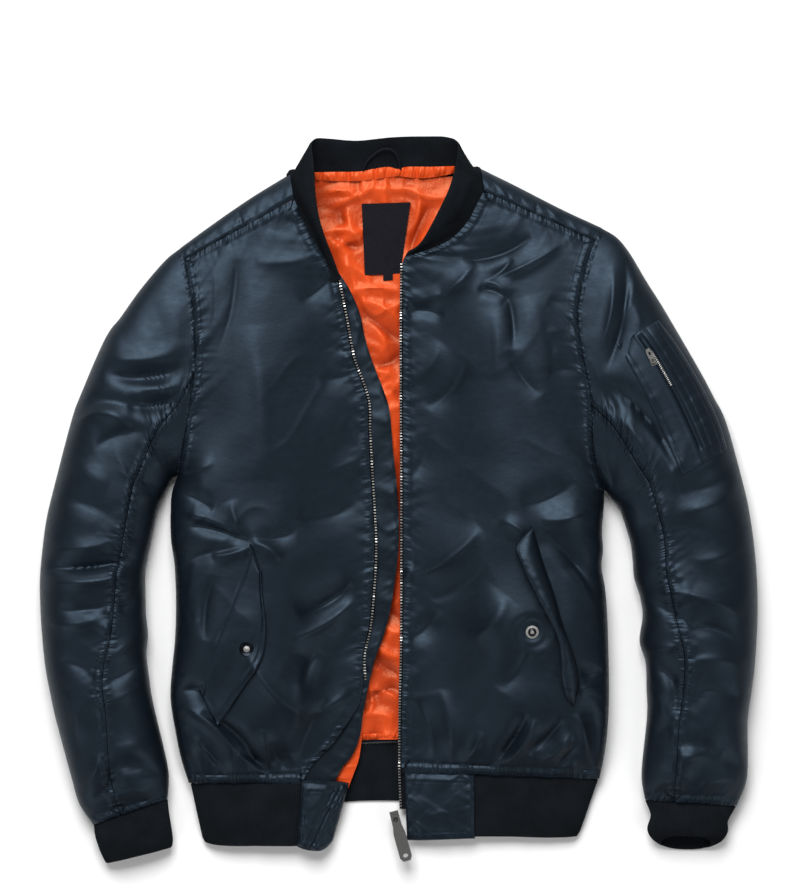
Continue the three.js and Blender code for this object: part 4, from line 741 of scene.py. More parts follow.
def front_surface(front, at, u):
    """A front's outer face: at runs down its border, u from the border to the opening.

    The height is the padded crown, falling over the last part to the opening's edge, rounded down by a
    quarter circle to the side seam or eased to the armhole, plus creases, soft clouds and the puckers along
    its seams.
    """
    border, seed = front["border"], front["seed"]
    at, u = np.broadcast_arrays(at, u)
    bx, by = border_point(border, at)
    arm, side = (np.interp(at, border["share"], border[k]) for k in ("arm", "side"))
    end = front["opening"](at)
    x, y = mix(bx, end[..., 0], u), mix(by, end[..., 1], u)
    span = np.hypot(end[..., 0] - bx, end[..., 1] - by)
    d, e = u * span, (1 - u) * span
    hem, top = (1 - at) * border["length"], at * border["length"]
    crown, edge = (column(front["heights"], k, at) for k in ("crown", "edge"))
    fade = smooth(d / 30) * smooth((1 - at) / 0.05) * smooth(at / 0.05)
    relief = (1 + 0.45 * smooth((y - 430) / 120)) * crease_lift(front["creases"], x, y)
    relief += ((2.2 + 2.2 * smooth((y - 430) / 160)) * cloud(x, y * 0.8, 56, seed)
               + 0.6 * cloud(x + 0.3 * y, y, 27, seed + 1))
    relief += 0.5 * crumpled(0.8 * x + 0.5 * y, 0.6 * y - 0.4 * x, 36, seed + 2)
    spread = mix(crown, edge, smooth((u - 0.4) / 0.6)) + fade * relief
    on_arm = at < border["underarm"]
    seam_arm = mix(SLEEVE_SEAM_HEIGHT, ARMHOLE_CROWN, domed(arm))
    seam = np.where(on_arm, seam_arm, side_seam_height(side))
    at_side = seam + (spread - seam) * rounded((d + 0.5) / (SIDE_ROUND + 0.5))
    at_arm = mix(seam, spread, smooth(d / 60))
    z = np.where(on_arm, mix(at_arm, at_side, smooth((arm - 0.7) / 0.3)), at_side)
    along = at * border["length"]
    z = z + topstitched(along, d, (2.6, 9.0), seed + 3) * np.where(on_arm, 0.85, 0.4) * smooth(hem / 25)
    z = z + topstitched(along, e, (2.6, PLACKET), seed + 6, 0.85) * smooth(hem / 14) * smooth(top / 12)
    z = z + topstitched(x, top, (2.4, 7.5), seed + 9, 0.55) * smooth(d / 12)
    z = z + gathered_hem(x, hem, seed + 12) * smooth(d / 10)
    if front["stud"]:
        z = seated(x, y, z, front["stud"])
    y = y + (0.6 + 0.9 * wave(x, 9, seed + 15)) * np.exp(-((hem / 5) ** 2)) * smooth(d / 8)
    return stacked(x, y, z)


def seated(x, y, z, node):
    """Brings the cloth level under a round metal part, and shapes a soft ring round it."""
    low, high = (np.array(corner) * 1000 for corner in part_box(node))
    centre = (low + high) / 2
    away = np.hypot(x - PLAN_CENTRE[0] - centre[0], PLAN_CENTRE[1] - y - centre[1])
    level = low[2] - 0.25 + 1.1 * np.exp(-(((away - 11) / 2.6) ** 2))
    return mix(z, level, smooth((22 - away) / 11))


def front_seams(front, at, u):
    """The nearest of a front's seams: border, opening, hem or yoke; the side seam counts as further off."""
    border = front["border"]
    bx, by = border_point(border, at)
    end = front["opening"](at)
    span = np.hypot(end[..., 0] - bx, end[..., 1] - by)
    along = at * border["length"]
    x = mix(bx, end[..., 0], u)
    plain = np.where(at < border["underarm"], 0, 6)
    return nearest_seam((along, u * span + plain), (along, (1 - u) * span),
                        (x, 0.7 * (border["length"] - along)), (x, 1.3 * along))


def topstitched(along, away, rows, seed, depth=1.0):
    """Topstitching beside an edge: a narrow furrow at each row, and cloth puckered by short uneven waves.

    The waves slant with the distance from the edge, keep their height as far as the last row and fall by a
    factor of e every 7 mm from there; a few long ones fall as far in 22 mm. At the edge itself the cloth
    rolls down into the seam.
    """
    beyond = np.maximum(0, away - rows[-1])
    z = -0.9 * np.exp(-((away / 1.7) ** 2)) + 0.55 * smooth(away / 2) * smooth(1 - beyond / 3)
    for row in rows:
        z = z - 0.7 * np.exp(-(((away - row) / 1.0) ** 2))
    short = wave(along + 0.45 * away, 5.4, seed) + 0.55 * wave(along - 0.3 * away, 3.4, seed + 1)
    z = z + 0.85 * short * smooth(away / 1.5) * np.exp(-beyond / 7)
    tension = np.maximum(0, wave(along + 0.7 * away, 15, seed + 2) - 0.15)
    return depth * (z + 2.0 * tension * smooth(away / 5) * np.exp(-beyond / 22))


def gathered_hem(x, hem, seed):
    """Cloth drawn in by the rib: a stitched roll at the hem, and upright waves that fade away from it."""
    roll = 1.3 * np.sin(np.pi * np.clip(hem / HEM_BAND, 0, 1)) ** 0.7
    fine = (0.8 * wave(x + 0.4 * hem, 5.2, seed) + 0.5 * wave(x, 3.3, seed + 1)) * np.exp(-hem / 13)
    broad = 2.2 * wave(x + 0.35 * hem, 12, seed + 2) * np.exp(-hem / 34) * smooth((hem - 3) / 9)
    furrow = -1.3 * np.exp(-(((hem - HEM_BAND) / 1.7) ** 2))
    return (roll + fine + furrow) * smooth(hem / 1.5) + broad


def crumpled(x, y, size, seed):
    """Sharp-crested soft folds, 0 to 1, in patches: one less the size of a soft cloud of bumps, squared."""
    crest = (1 - np.minimum(1, 2.2 * np.abs(cloud(x, y, size, seed)))) ** 2
    return crest * smooth(0.35 + 1.6 * cloud(x, y, 1.3 * size, seed + 40))


def front_place(front, x, y):
    """The row and column of a plan point: rows are straight, so the row that holds it is found by halving."""
    border = front["border"]
    low, high = np.zeros(x.shape), np.ones(x.shape)
    for _ in range(20):
        at = (low + high) / 2
        bx, by = border_point(border, at)
        end = front["opening"](at)
        below = front["towards"] * ((end[..., 0] - bx) * (y - by) - (end[..., 1] - by) * (x - bx)) > 0
        low, high = np.where(below, at, low), np.where(below, high, at)
    run_x, run_y = end[..., 0] - bx, end[..., 1] - by
    u = ((x - bx) * run_x + (y - by) * run_y) / (run_x**2 + run_y**2)
    return at, np.clip(u, 0, 1)


def front_height(front, x, y):
    """The height of a front's face over a plan point."""
    return front_surface(front, *front_place(front, x, y))[..., 2]


def graded(count, pull=0.35):
    """Even steps from 0 to 1 drawn towards the start."""
    t = np.linspace(0, 1, count)
    return (1 - pull) * t + pull * t * t


# The shoulder yokes

YOKES = {
    "shoulder_yoke_right": {
        "shoulder": SHOULDER_RIGHT, "armhole": ARMHOLE_RIGHT, "neck": YOKE_NECK_RIGHT, "seed": 71},
    "shoulder_yoke_left": {
        "shoulder": SHOULDER_LEFT, "armhole": ARMHOLE_LEFT, "neck": YOKE_NECK_LEFT, "seed": 83},
}
YOKE_PIECING = 0.47
YOKE_LENGTH = 130.0
YOKE_WIDTH = 28.0


def yoke_surface(yoke, along, across):
    """A yoke's outer face: a quarter circle from the fold over the shoulder up to the seam with the front."""
    along, across = np.broadcast_arrays(along, across)
    fold, end = yoke["shoulder"](along), yoke["armhole"](YOKE_SHARE)
    seam = mix(yoke["neck"], end, along[..., None]) - [0, 2 * SEAM_GAP]
    xy = mix(fold, seam, across[..., None])
    top = mix(30.0, mix(SLEEVE_SEAM_HEIGHT, ARMHOLE_CROWN, domed(YOKE_SHARE)), along)
    z = SLEEVE_SEAM_HEIGHT + (top - SLEEVE_SEAM_HEIGHT) * rounded((across + 0.02) / 1.02)
    seed = yoke["seed"]
    run, drop = along * YOKE_LENGTH, (1 - across) * YOKE_WIDTH
    piecing = (along - YOKE_PIECING) * YOKE_LENGTH
    z = z + topstitched(run, drop, (2.4, 8.0), seed, 0.5) + 0.6 * cloud(xy[..., 0], xy[..., 1], 16, seed + 1)
    z = z + topstitched(run, (1 - along) * YOKE_LENGTH, (2.4, 7.0), seed + 2, 0.5) * smooth(across / 0.2)
    z = z - 1.0 * np.exp(-((piecing / 1.4) ** 2)) + 0.5 * wave(drop, 6, seed) * np.exp(-np.abs(piecing) / 6)
    return stacked(xy[..., 0], xy[..., 1], z)


# The sleeves

SLEEVES = {
    "right": {
        "sections": SLEEVE_RIGHT_SECTIONS, "armhole": ARMHOLE_RIGHT, "creases": SLEEVE_RIGHT_CREASES,
        "seed": 101},
    "left": {
        "sections": SLEEVE_LEFT_SECTIONS, "armhole": ARMHOLE_LEFT, "creases": SLEEVE_LEFT_CREASES,
        "seed": 131},
}
FELL = 9.0
SLEEVE_ARC = 230.0  # the rough length over a sleeve's top at the armhole
TOP_STEP = 19.0  # the rough length from section to section by the armhole
CUFF_STEP = 26.0  # by the cuff
MEAN_STEP = 27.0  # over the whole sleeve


def seam_turn(share):
    """The turn round a tube, 0 to 0.5 over its top, at a share of its width."""
    return np.arccos(1 - 2 * share) / (2 * np.pi)


def width_share(turn):
    """The share of a tube's width at a turn round it: half of one less the cosine."""
    return (1 - np.cos(2 * np.pi * turn)) / 2


def sleeve_surface(sleeve, k, turn):
    """A sleeve's outer face: k counts its sections from the armhole, turn goes round it from the outer edge.

    Over the top the height is the dome of a lying tube, underneath it is flat with turned-up edges. The
    first sections keep the armhole's curve. Creases, clouds, the felled front seam and the cuff's gathers
    lie on top.
    """
    k, turn = np.broadcast_arrays(k, turn)
    sections, seed = sleeve["sections"], sleeve["seed"]
    s = {name: column(sections, name, k) for name in sections if name != "at"}
    t = turn % 1
    share = width_share(t)
    bend = np.maximum(0, 1 - k / 4) ** 1.5
    seam = sleeve["armhole"](share)
    x = mix(s["outerX"], s["innerX"], share)
    y = mix(s["outerY"], s["innerY"], share)
    x = x + bend * (seam[..., 0] - mix(sections["outerX"][0], sections["innerX"][0], share))
    y = y + bend * (seam[..., 1] - mix(sections["outerY"][0], sections["innerY"][0], share))
    width = np.hypot(s["innerX"] - s["outerX"], s["innerY"] - s["outerY"])
    last = len(sections["at"]) - 1
    from_armhole, from_cuff = k * TOP_STEP, (last - k) * CUFF_STEP
    relief = crease_lift(sleeve["creases"], x, y)
    relief += 1.6 * cloud(x, y, 46, seed) + 0.5 * cloud(x, y + 0.3 * x, 23, seed + 1)
    relief += 0.5 * crumpled(0.5 * x + 0.3 * y, y - 0.2 * x, 32, seed + 2)
    crown = s["crown"] + smooth(k / 2) * smooth(from_cuff / 30) * domed(share) * relief
    over = mix(SLEEVE_SEAM_HEIGHT, crown, domed(share))
    past = (share - s["seam"]) * width
    fell = topstitched(1.4 * from_armhole, np.maximum(0, -past), (1.6, FELL - 1.2), seed + 4) * (past < 0)
    fell = fell + topstitched(1.4 * from_armhole, np.maximum(0, past), (0.5,), seed + 7, 0.6) * (past >= 0)
    over = over + fell * smooth(share / 0.1) * smooth((1 - share) / 0.08)
    over = over + topstitched(share * SLEEVE_ARC, from_armhole, (0.6,), seed + 10, 0.8) * domed(share)
    over = over + gathered_hem(share * width, from_cuff, seed + 13) * domed(share)
    z = np.where(t <= 0.5, over, SLEEVE_SEAM_HEIGHT * turned_up(share))
    return stacked(x, y, z)


def sleeve_seams(sleeve, k, turn):
    """The nearest of a sleeve's seams: armhole, front seam or cuff."""
    k, turn = np.broadcast_arrays(k, turn)
    s = {name: column(sleeve["sections"], name, k) for name in sleeve["sections"] if name != "at"}
    share = width_share(turn)
    width = np.hypot(s["innerX"] - s["outerX"], s["innerY"] - s["outerY"])
    last = len(sleeve["sections"]["at"]) - 1
    from_seam = np.abs(share - s["seam"]) * width
    return nearest_seam((share * SLEEVE_ARC, 2.4 * k * TOP_STEP), (k * MEAN_STEP, from_seam),
                        (share * width, 0.7 * (last - k) * CUFF_STEP))


def sleeve_place(sleeve, x, y):
    """The section and the turn of a plan point on a sleeve's top, its section found by halving."""
    sections = sleeve["sections"]
    low, high = np.zeros(x.shape), np.full(x.shape, len(sections["at"]) - 1.0)
    for _ in range(22):
        k = (low + high) / 2
        s = {name: column(sections, name, k) for name in ("outerX", "outerY", "innerX", "innerY")}
        run_x, run_y = s["innerX"] - s["outerX"], s["innerY"] - s["outerY"]
        below = run_x * (y - s["outerY"]) - run_y * (x - s["outerX"])
        below = below * np.sign(sections["innerX"][5] - sections["outerX"][5]) > 0
        low, high = np.where(below, k, low), np.where(below, high, k)
    share = ((x - s["outerX"]) * run_x + (y - s["outerY"]) * run_y) / (run_x**2 + run_y**2)
    return k, seam_turn(np.clip(share, 0.0, 1.0))


def sleeve_height(sleeve, x, y):
    """The height of a sleeve's top over a plan point."""
    return sleeve_surface(sleeve, *sleeve_place(sleeve, x, y))[..., 2]


# The back panel

def back_grids():
    """The back's outer and inner faces. Its rows join the two shoulders, then the armholes, then the sides.

    The outer face lies on the floor and turns up by a quarter circle over the last 14 mm to its edges; the
    rows bow up the plan towards the hem.
    """
    shoulder, arm = np.linspace(0, 1, 26, endpoint=False), np.linspace(0, 1, 76)
    side = np.linspace(0, 1, 91)[1:]
    start = np.vstack([SHOULDER_RIGHT(shoulder), ARMHOLE_RIGHT(arm), SIDE_RIGHT(side)])[:, None]
    end = np.vstack([SHOULDER_LEFT(shoulder), ARMHOLE_LEFT(arm), SIDE_LEFT(side)])[:, None]
    arm_height = SLEEVE_SEAM_HEIGHT * turned_up(arm)
    height = np.r_[np.full(26, SLEEVE_SEAM_HEIGHT), arm_height, side_seam_height(side)][:, None]
    height = np.maximum(height - SEAM_GAP, 0.05)
    lip = np.r_[np.zeros(26), WALL * smooth(arm * 12) * smooth((1 - arm) * 12), np.zeros(90)][:, None]
    bow = np.r_[np.zeros(102), HEM_LIFT * smooth((side - 0.55) / 0.45)][:, None]
    span = np.linalg.norm(end - start, axis=-1)
    near = BACK_ROUND * (1 - np.cos(np.linspace(0, np.pi / 2, 10)))
    near = np.broadcast_to(near, (len(span), 10))
    middle = mix(BACK_ROUND, span - BACK_ROUND, np.linspace(0, 1, 62)[None, 1:-1])
    d = np.hstack([near, middle, span - near[:, ::-1]])
    inset = np.where(lip > 0, 0.5, 0.0)
    u = mix(inset, span - inset, d / span) / span
    x = mix(start[..., 0], end[..., 0], u)
    y = mix(start[..., 1], end[..., 1], u) - bow * (1 - np.abs(2 * u - 1) ** 2.2)
    d = np.minimum(d, span - d)
    soft = 0.5 * np.maximum(0, cloud(x, y, 48, 5) + 0.6 * cloud(x, y, 17, 6)) * smooth((d - 4) / 20)
    base = height * (1 - rounded((d + 0.3) / (BACK_ROUND + 0.3))) + soft
    reach = rounded((d - np.where(lip > 0, 0, WALL)) / (BACK_ROUND - WALL))
    top = mix(np.maximum(height + lip, WALL), WALL, reach)
    return stacked(x, y, base), stacked(x, y, np.maximum(top, base + 0.9))


# Rib bands, panels and cuffs

BAND_COLUMNS = "seamX seamY seamZ freeX freeY freeZ bow"
COLLAR = table(
    BAND_COLUMNS,
    [337, 281, 27, 341, 278.5, 28, 0], [332, 272.5, 28, 338.5, 272, 31.5, 0],
    [325.5, 256.5, 29, 332, 254.5, 38, 2], [316.5, 237.5, 29, 325.5, 238, 42.5, 3],
    [307.5, 219, 28.5, 319.5, 218, 45, 4], [299.5, 202, 27, 316, 195, 46, 4],
    [294.5, 187, 24, 314, 165, 44, 3], [292.5, 175, 18, 312, 144, 38, 2],
    [299, 174.5, 11, 316, 138.5, 31, 1], [318, 177.5, 5.5, 331, 138.5, 25, 0],
    [346, 179, 4.8, 356, 140, 20, -1], [390, 175, 4.8, 391, 136.5, 18, -1],
    [430, 176.5, 4.8, 426, 135.5, 20, -1], [455, 172, 5.5, 446, 136.5, 26, 0],
    [470, 169, 11, 456.5, 141, 33, 1], [477, 172.5, 18, 457.5, 152, 40, 2],
    [479, 184, 24, 455, 168, 44, 3], [474, 200, 27, 449, 189, 46, 4],
    [466.5, 215, 28, 441, 206.5, 46, 4], [456.5, 227.5, 28, 432, 224, 43, 3],
    [445, 237, 27.5, 421.5, 241.5, 37, 2], [431, 244, 27.5, 413, 249.5, 32, 1],
    [416, 250, 26.5, 407.5, 253, 29.5, 0], [408, 257, 24, 404.3, 257.5, 25, 0])
HEM_RIB = table(
    BAND_COLUMNS,
    [306, 784, 14.2, 301, 847, 10.6, 1], [298, 785, 17, 294.5, 847.5, 13.6, 2],
    [265, 785, 18.5, 262, 847.5, 14.5, 3], [230, 785, 19, 226, 847.5, 13.5, 3],
    [204, 785, 15.5, 210.5, 846, 10.5, 1], [191, 785.6, 9.5, 203.5, 843.5, 6.5, 0],
    [194, 785, 5, 207, 840.5, 3.4, 0], [207, 780, 2.3, 222, 837, 1.9, 0],
    [250, 766, 1.7, 256, 823, 1.7, 0], [300, 754.8, 1.7, 302, 811, 1.7, 0],
    [350, 748, 1.7, 350, 804, 1.7, 0], [395, 746.2, 1.7, 395, 803, 1.7, 0],
    [440, 747.6, 1.7, 438, 804, 1.7, 0], [490, 753.8, 1.7, 484, 810, 1.7, 0],
    [545, 765.6, 1.7, 534, 822, 1.7, 0], [583, 777.4, 2.3, 566, 833, 1.9, 0],
    [596.5, 781, 5, 576.5, 836, 3.2, 0], [597.5, 781.2, 9.5, 578, 838, 6.5, 0],
    [586, 780.7, 14.5, 570, 839, 10, 1], [560, 779.8, 17, 548, 839.5, 12.5, 3],
    [520, 778.6, 16.5, 515, 838.5, 13, 3], [478.5, 777.2, 15.2, 478.5, 838.3, 12.3, 2],
    [470, 777, 11.4, 470, 838.6, 9.2, 1])
HEM_END_RIGHT = table(
    BAND_COLUMNS,
    [300.6, 784.5, 17.6, 296.7, 848, 14, 2], [309, 784.5, 19.5, 303, 850.5, 17, 3],
    [319, 784.5, 20, 312, 852, 18.5, 3], [330, 785.5, 18, 321, 852, 16, 2],
    [340, 786, 15, 327, 848, 13, 1], [348, 787.5, 12, 332, 842, 10.5, 0])
HEM_END_LEFT = table(
    BAND_COLUMNS,
    [404.3, 775, 13.4, 407, 842, 11, 1], [420, 775.3, 14, 422, 842, 12.5, 2],
    [450, 776.3, 14.6, 450, 841, 13, 2], [475.3, 777.1, 15.2, 475.3, 840, 12.5, 2])


def band_surface(stations, along, across):
    """A band between its seam and its free edge: straight across, its middle raised by a half sine wave."""
    along, across = np.broadcast_arrays(along, across)
    edges = [curve_through(np.stack([stations[end + k] for k in "XYZ"], -1), by_length=False)
             for end in ("seam", "free")]
    point = mix(edges[0](along), edges[1](along), across[..., None])
    place = np.linspace(0, 1, len(stations["bow"]))
    point[..., 2] += np.interp(along, place, stations["bow"]) * np.sin(np.pi * across)
    return point


def evenly_along(stations, step):
    """The band's stations at even steps along its middle, with the length at each."""
    along = np.linspace(0, 1, 2400)
    run = lengths_along(band_surface(stations, along, 0.5))
    length = np.linspace(0, run[-1], int(run[-1] / step))
    return np.interp(length, run, along), length


def knit_band(name, stations, seed, sag, tuck=0.0):
    """A doubled rib band: cosine ribs run from the seam to the free edge over soft unevenness."""
    look = bpy.context.scene.jacket
    along, length = evenly_along(stations, look.rib_pitch / 5)
    across = np.linspace(0, 1, 14)[:, None]
    mid = band_surface(stations, along[None, :], across)
    uneven = (sag * cloud(length[None, :], 60 * across, 34, seed)
              + 0.5 * sag * cloud(length[None, :], 60 * across, 12, seed))
    flat = np.minimum(1, mid[..., 2] / 9)
    mid[..., 2] += uneven * flat * smooth(across / 0.15)
    ahead = np.gradient(mid[0], axis=0)
    outwards = np.stack([ahead[:, 1], -ahead[:, 0]], -1) / np.linalg.norm(ahead[:, :2], axis=1)[:, None]
    raised = smooth((mid[0, :, 2] - 9) / 8)
    tucked = mid[0] - [0, 0, 1.2]
    tucked[:, :2] += tuck * raised[:, None] * outwards
    tucked[:, 2] -= raised * tuck / 4
    mid = np.concatenate([tucked[None], mid])
    across = np.r_[0, across[:, 0]][:, None]
    mid[..., 2] = np.maximum(mid[..., 2], RIB_WALL / 2 + 0.1)
    ribs = length / look.rib_pitch + 0.18 * wave(length, 30, seed + 2)
    depth = np.minimum(look.rib_depth, 0.25 + 0.02 * mid[..., 2].mean())
    obj = soft_wall(name, mid, RIB_WALL - 0.8, finish("knitted_rib"), ribs, depth)
    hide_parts(name)
    return obj


CUFF_COLUMNS = "outerX outerY innerX innerY crown slant"
CUFF_RIGHT = table(
    CUFF_COLUMNS,
    [92.2, 826.5, 166.7, 800.5, 24.4, 0], [94, 838, 168, 813, 27, 0], [98, 851, 171, 831, 27, 0],
    [101.5, 859, 172, 841, 25, 0], [104.5, 865.5, 171, 849, 21, 0])
CUFF_LEFT = table(
    CUFF_COLUMNS,
    [737.8, 807.5, 646, 801.5, 24.4, 0], [729.5, 821, 651.5, 815, 27, 2], [729.5, 829, 648, 826, 27, 7],
    [724, 835, 652, 832, 25, 13], [714, 836, 661, 835, 22, 18])


def cuff_surface(sections, v, turn, inset):
    """A cuff's tube: v runs down it, turn once round it; inset moves it in from its outer face."""
    v, turn = np.broadcast_arrays(v, turn)
    rows = dict(sections, at=np.linspace(0, 1, 5))
    s = {name: column(rows, name, v) for name in sections}
    share = width_share(turn)
    width = np.hypot(s["innerX"] - s["outerX"], s["innerY"] - s["outerY"])
    w = 0.5 + (share - 0.5) * (1 - 2 * inset / width)
    over = mix(s["crown"] / 2, s["crown"] - inset, domed(share))
    under = mix(inset, s["crown"] / 2, 1 - domed(share))
    z = np.where(turn <= 0.5, over, under)
    x = mix(s["outerX"], s["innerX"], w)
    y = mix(s["outerY"], s["innerY"], w) + s["slant"] * (1 - z / s["crown"])
    return stacked(x, y, z)


def knit_cuff(name, sections, seed):
    """A doubled rib cuff: cosine ribs run down its tube, a whole number of them round it."""
    look = bpy.context.scene.jacket
    turn = np.linspace(0, 1, 900)
    ring = cuff_surface(sections, 0.4, turn, RIB_WALL / 2)
    run = lengths_along(ring)
    ribs = round(run[-1] / look.rib_pitch)
    length = np.linspace(0, 1, ribs * 6, endpoint=False)
    turns = np.interp(length * run[-1], run, turn)
    v = np.linspace(0, 1, 17)[:, None]
    mid = cuff_surface(sections, v, turns[None, :], RIB_WALL / 2)
    lift = smooth((mid[..., 2] - 8) / 10) * smooth(v / 0.2)
    x, y = mid[..., 0], mid[..., 1]
    mid[..., 2] += (1.3 * cloud(x, y, 21, seed) + 0.6 * cloud(x, y, 9, seed)) * lift
    obj = soft_wall(name, mid, RIB_WALL - 0.9, finish("knitted_rib"), length * ribs,
                    look.rib_depth, loop=True)
    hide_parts(name)
    return obj


END_PANEL_FOLD = ((344, 780), (311, 848))
END_PANEL_HEIGHT = 64.0


def end_panel_surface(stations, along, across, seed, fold=None):
    """A smooth cloth panel at the hem's end, stitched round its edges, with puckers and soft crumples.

    Where it has a fold, the zip's facing goes on over it: a step up along a slanting line, with a row of
    stitches on each side of it.
    """
    point = band_surface(stations, along, across)
    x, y = point[..., 0], point[..., 1]
    wide = abs(stations["seamX"][-1] - stations["seamX"][0])
    from_ends = np.minimum(along, 1 - along) * wide
    from_edges = np.minimum(across, 1 - across) * END_PANEL_HEIGHT
    rim = np.minimum(from_ends, from_edges)
    run = np.where(from_ends < from_edges, across * END_PANEL_HEIGHT, along * wide)
    crumples = 1.4 * crumpled(0.4 * x + 0.6 * y, y - 0.7 * x, 22, seed + 1)
    point[..., 2] += WALL / 2 + 1.0 * cloud(x, y, 21, seed) + crumples
    point[..., 2] += topstitched(run, rim, (2.6, 7.5), seed + 2, 0.6) - 0.8
    if fold:
        (ax, ay), (bx, by) = fold
        away = ((ay - by) * (x - ax) + (bx - ax) * (y - ay)) / np.hypot(bx - ax, by - ay)
        step = 1.6 * smooth(-away / 1.2 + 0.5) - 1.3 * np.exp(-((away / 1.4) ** 2))
        step = step - 0.8 * np.exp(-(((np.abs(away) - 4.5) / 1.0) ** 2))
        point[..., 2] += step * smooth(rim / 4)
    return point


# The inside: lining, its gathered bindings, the label and the hanger loop

LINING_TOP = 7.0
LINING_BASE = 3.4
LINING_EDGES = table(
    "y left right rise",
    [175, 314, 456, 0], [205, 276, 500, 0], [240, 236, 546, 0], [290, 222, 556, 0], [360, 222, 556, 0],
    [440, 220, 566, 0], [520, 204, 572, 0], [600, 204, 578, 0], [690, 204, 578, 14], [770, 216, 570, 29])
LINING_CREASES = table(
    CREASE_COLUMNS,
    [324, 190, 362, 197, 4, 4, 3.4, 0.3], [404, 186, 452, 197, -4, 4, 3.4, 0.3],
    [340, 186, 436, 186, -2, 4, 2, 0], [320, 222, 364, 246, -7, 5, -4.4, 0.3],
    [322, 232, 364, 236, 5, 5, 3.8, 0], [330, 252, 362, 238, 4, 5, 3.4, 0],
    [326, 204, 344, 226, 4, 6, -3, 0], [346, 206, 360, 240, -3, 6, 3, 0],
    [340, 262, 372, 284, 4, 6, 3.6, 0], [446, 208, 424, 262, -5, 7, 3.6, 0],
    [432, 200, 410, 258, -4, 5, -3.2, 0], [420, 196, 410, 236, 3, 5, 3, 0],
    [352, 290, 402, 292, 4, 5, 3.8, 0.3], [358, 300, 402, 322, 5, 6, 3.8, 0],
    [362, 306, 402, 340, -4, 5, -3.4, 0], [366, 318, 386, 352, 5, 7, 3.6, 0],
    [376, 366, 402, 350, -4, 5, -4, 0.3], [372, 372, 398, 378, 3, 6, 3.6, 0],
    [384, 388, 402, 402, 3, 5, -3, 0], [384, 410, 396, 470, 4, 6, 3.4, 0],
    [392, 430, 402, 520, 2, 5, -2.6, 0], [386, 520, 374, 606, 5, 8, 3.4, 0],
    [398, 560, 386, 640, -3, 5, -3, 0], [376, 612, 402, 622, 3, 5, -3.4, 0],
    [372, 640, 402, 660, -4, 5, 3.8, 0], [370, 652, 402, 676, -4, 5, -4, 0.3],
    [364, 690, 402, 706, 5, 6, 3.6, 0], [366, 702, 400, 690, 4, 5, -3.6, 0],
    [366, 716, 396, 722, 3, 6, 3, 0], [380, 480, 400, 492, 2, 5, 2.6, 0])


def lining_height(x, y):
    """The lining's face: listed folds, crumpled satin and fine gathers along its two bound edges."""
    gathers = (1.2 * wave(x, 5.5, 301) * np.exp(-np.abs(y - 182) / 12)
               + 1.3 * wave(x, 5, 303) * np.exp(-np.abs(y - 736) / 14))
    crush = (4.6 * crumpled(0.7 * x + 0.5 * y, 0.75 * y - 0.6 * x, 44, 305)
             + 3.0 * crumpled(0.9 * x - 0.35 * y, 0.8 * y + 0.4 * x, 26, 306) + 1.0 * crumpled(x, y, 13, 307))
    height = 1.4 * crease_lift(LINING_CREASES, x, y) + 0.9 * cloud(x, y, 26, 308) + crush + gathers
    return LINING_TOP - 0.4 + np.where(height > 0, 8 * np.tanh(height / 8), 3 * np.tanh(height / 3))


def lining_grid():
    """The lining's upper face: rows across the back, closer together over the strip that shows."""
    y = np.linspace(175, 770, 250)[:, None]
    u = np.r_[np.linspace(0, 0.3, 10, endpoint=False), np.linspace(0.3, 0.68, 74),
              np.linspace(0.68, 1, 10)[1:]][None, :]
    left, right, rise = (column(LINING_EDGES, k, y, "y") for k in ("left", "right", "rise"))
    x, y = np.broadcast_arrays(mix(left, right, u), y - rise * (1 - np.abs(2 * u - 1) ** 2.2))
    return stacked(x, y, lining_height(x, y))


def ruled(edge_a, edge_b, rows, cols):
    """A grid between two lines in space, both read by their length."""
    t, u = np.linspace(0, 1, rows), np.linspace(0, 1, cols)[None, :, None]
    return mix(edge_a(t)[:, None], edge_b(t)[:, None], u)


NECK_BINDING = (
    curve_through([
        [314, 171, 13], [336, 170.5, 10.6], [360, 170, 10], [376, 167, 10.2], [390, 165.6, 10.4],
        [397, 167.6, 10.2], [406, 165.6, 10.4], [432, 165.4, 11], [455, 165, 15]]),
    curve_through([
        [315, 178.5, 10.4], [340, 180, 9.4], [362, 179.6, 9.2], [380, 177.4, 9.2], [396, 175, 9.2],
        [420, 177, 9.2], [440, 175, 9.6], [454, 172, 11.6]]))
HEM_BINDING = (
    curve_through([
        [332, 738.5, 9.6], [360, 735.6, 10.2], [385, 734.8, 10.4], [412, 735, 10]]),
    curve_through([
        [332, 745.5, 6.8], [360, 742, 7.2], [385, 741, 7.2], [412, 741.6, 7]]))
CORNER_FACING = (
    curve_through([
        [360, 712, 8.4], [356, 737, 8.4], [347, 757, 8.4], [336, 772, 8.4], [330, 790, 8]]),
    curve_through([
        [364.4, 712, 9.6], [361.4, 742, 9.6], [358.4, 761.5, 9.4], [353.6, 775, 9.2], [348, 790, 9]]))


def gathered_strip(name, edges, seed, thick=1.4, pitch=3.4, depth=1.7):
    """A narrow gathered strip of lining: rounded across, with uneven gathers that run across it."""
    grid = ruled(*edges, 150, 9)
    run = lengths_along(grid[:, 4])[:, None]
    across = np.linspace(0, 1, 9)[None, :]
    round_top = np.sin(np.pi * across)
    grid[..., 2] += 1.2 * round_top + depth * wave(run, pitch, seed) * (0.4 + 0.6 * round_top)
    grid[..., 2] += 0.5 * depth * wave(run + 2 * across, pitch * 0.5, seed + 1)
    return cloth_wall(name, grid, thick, finish("lining_satin"))


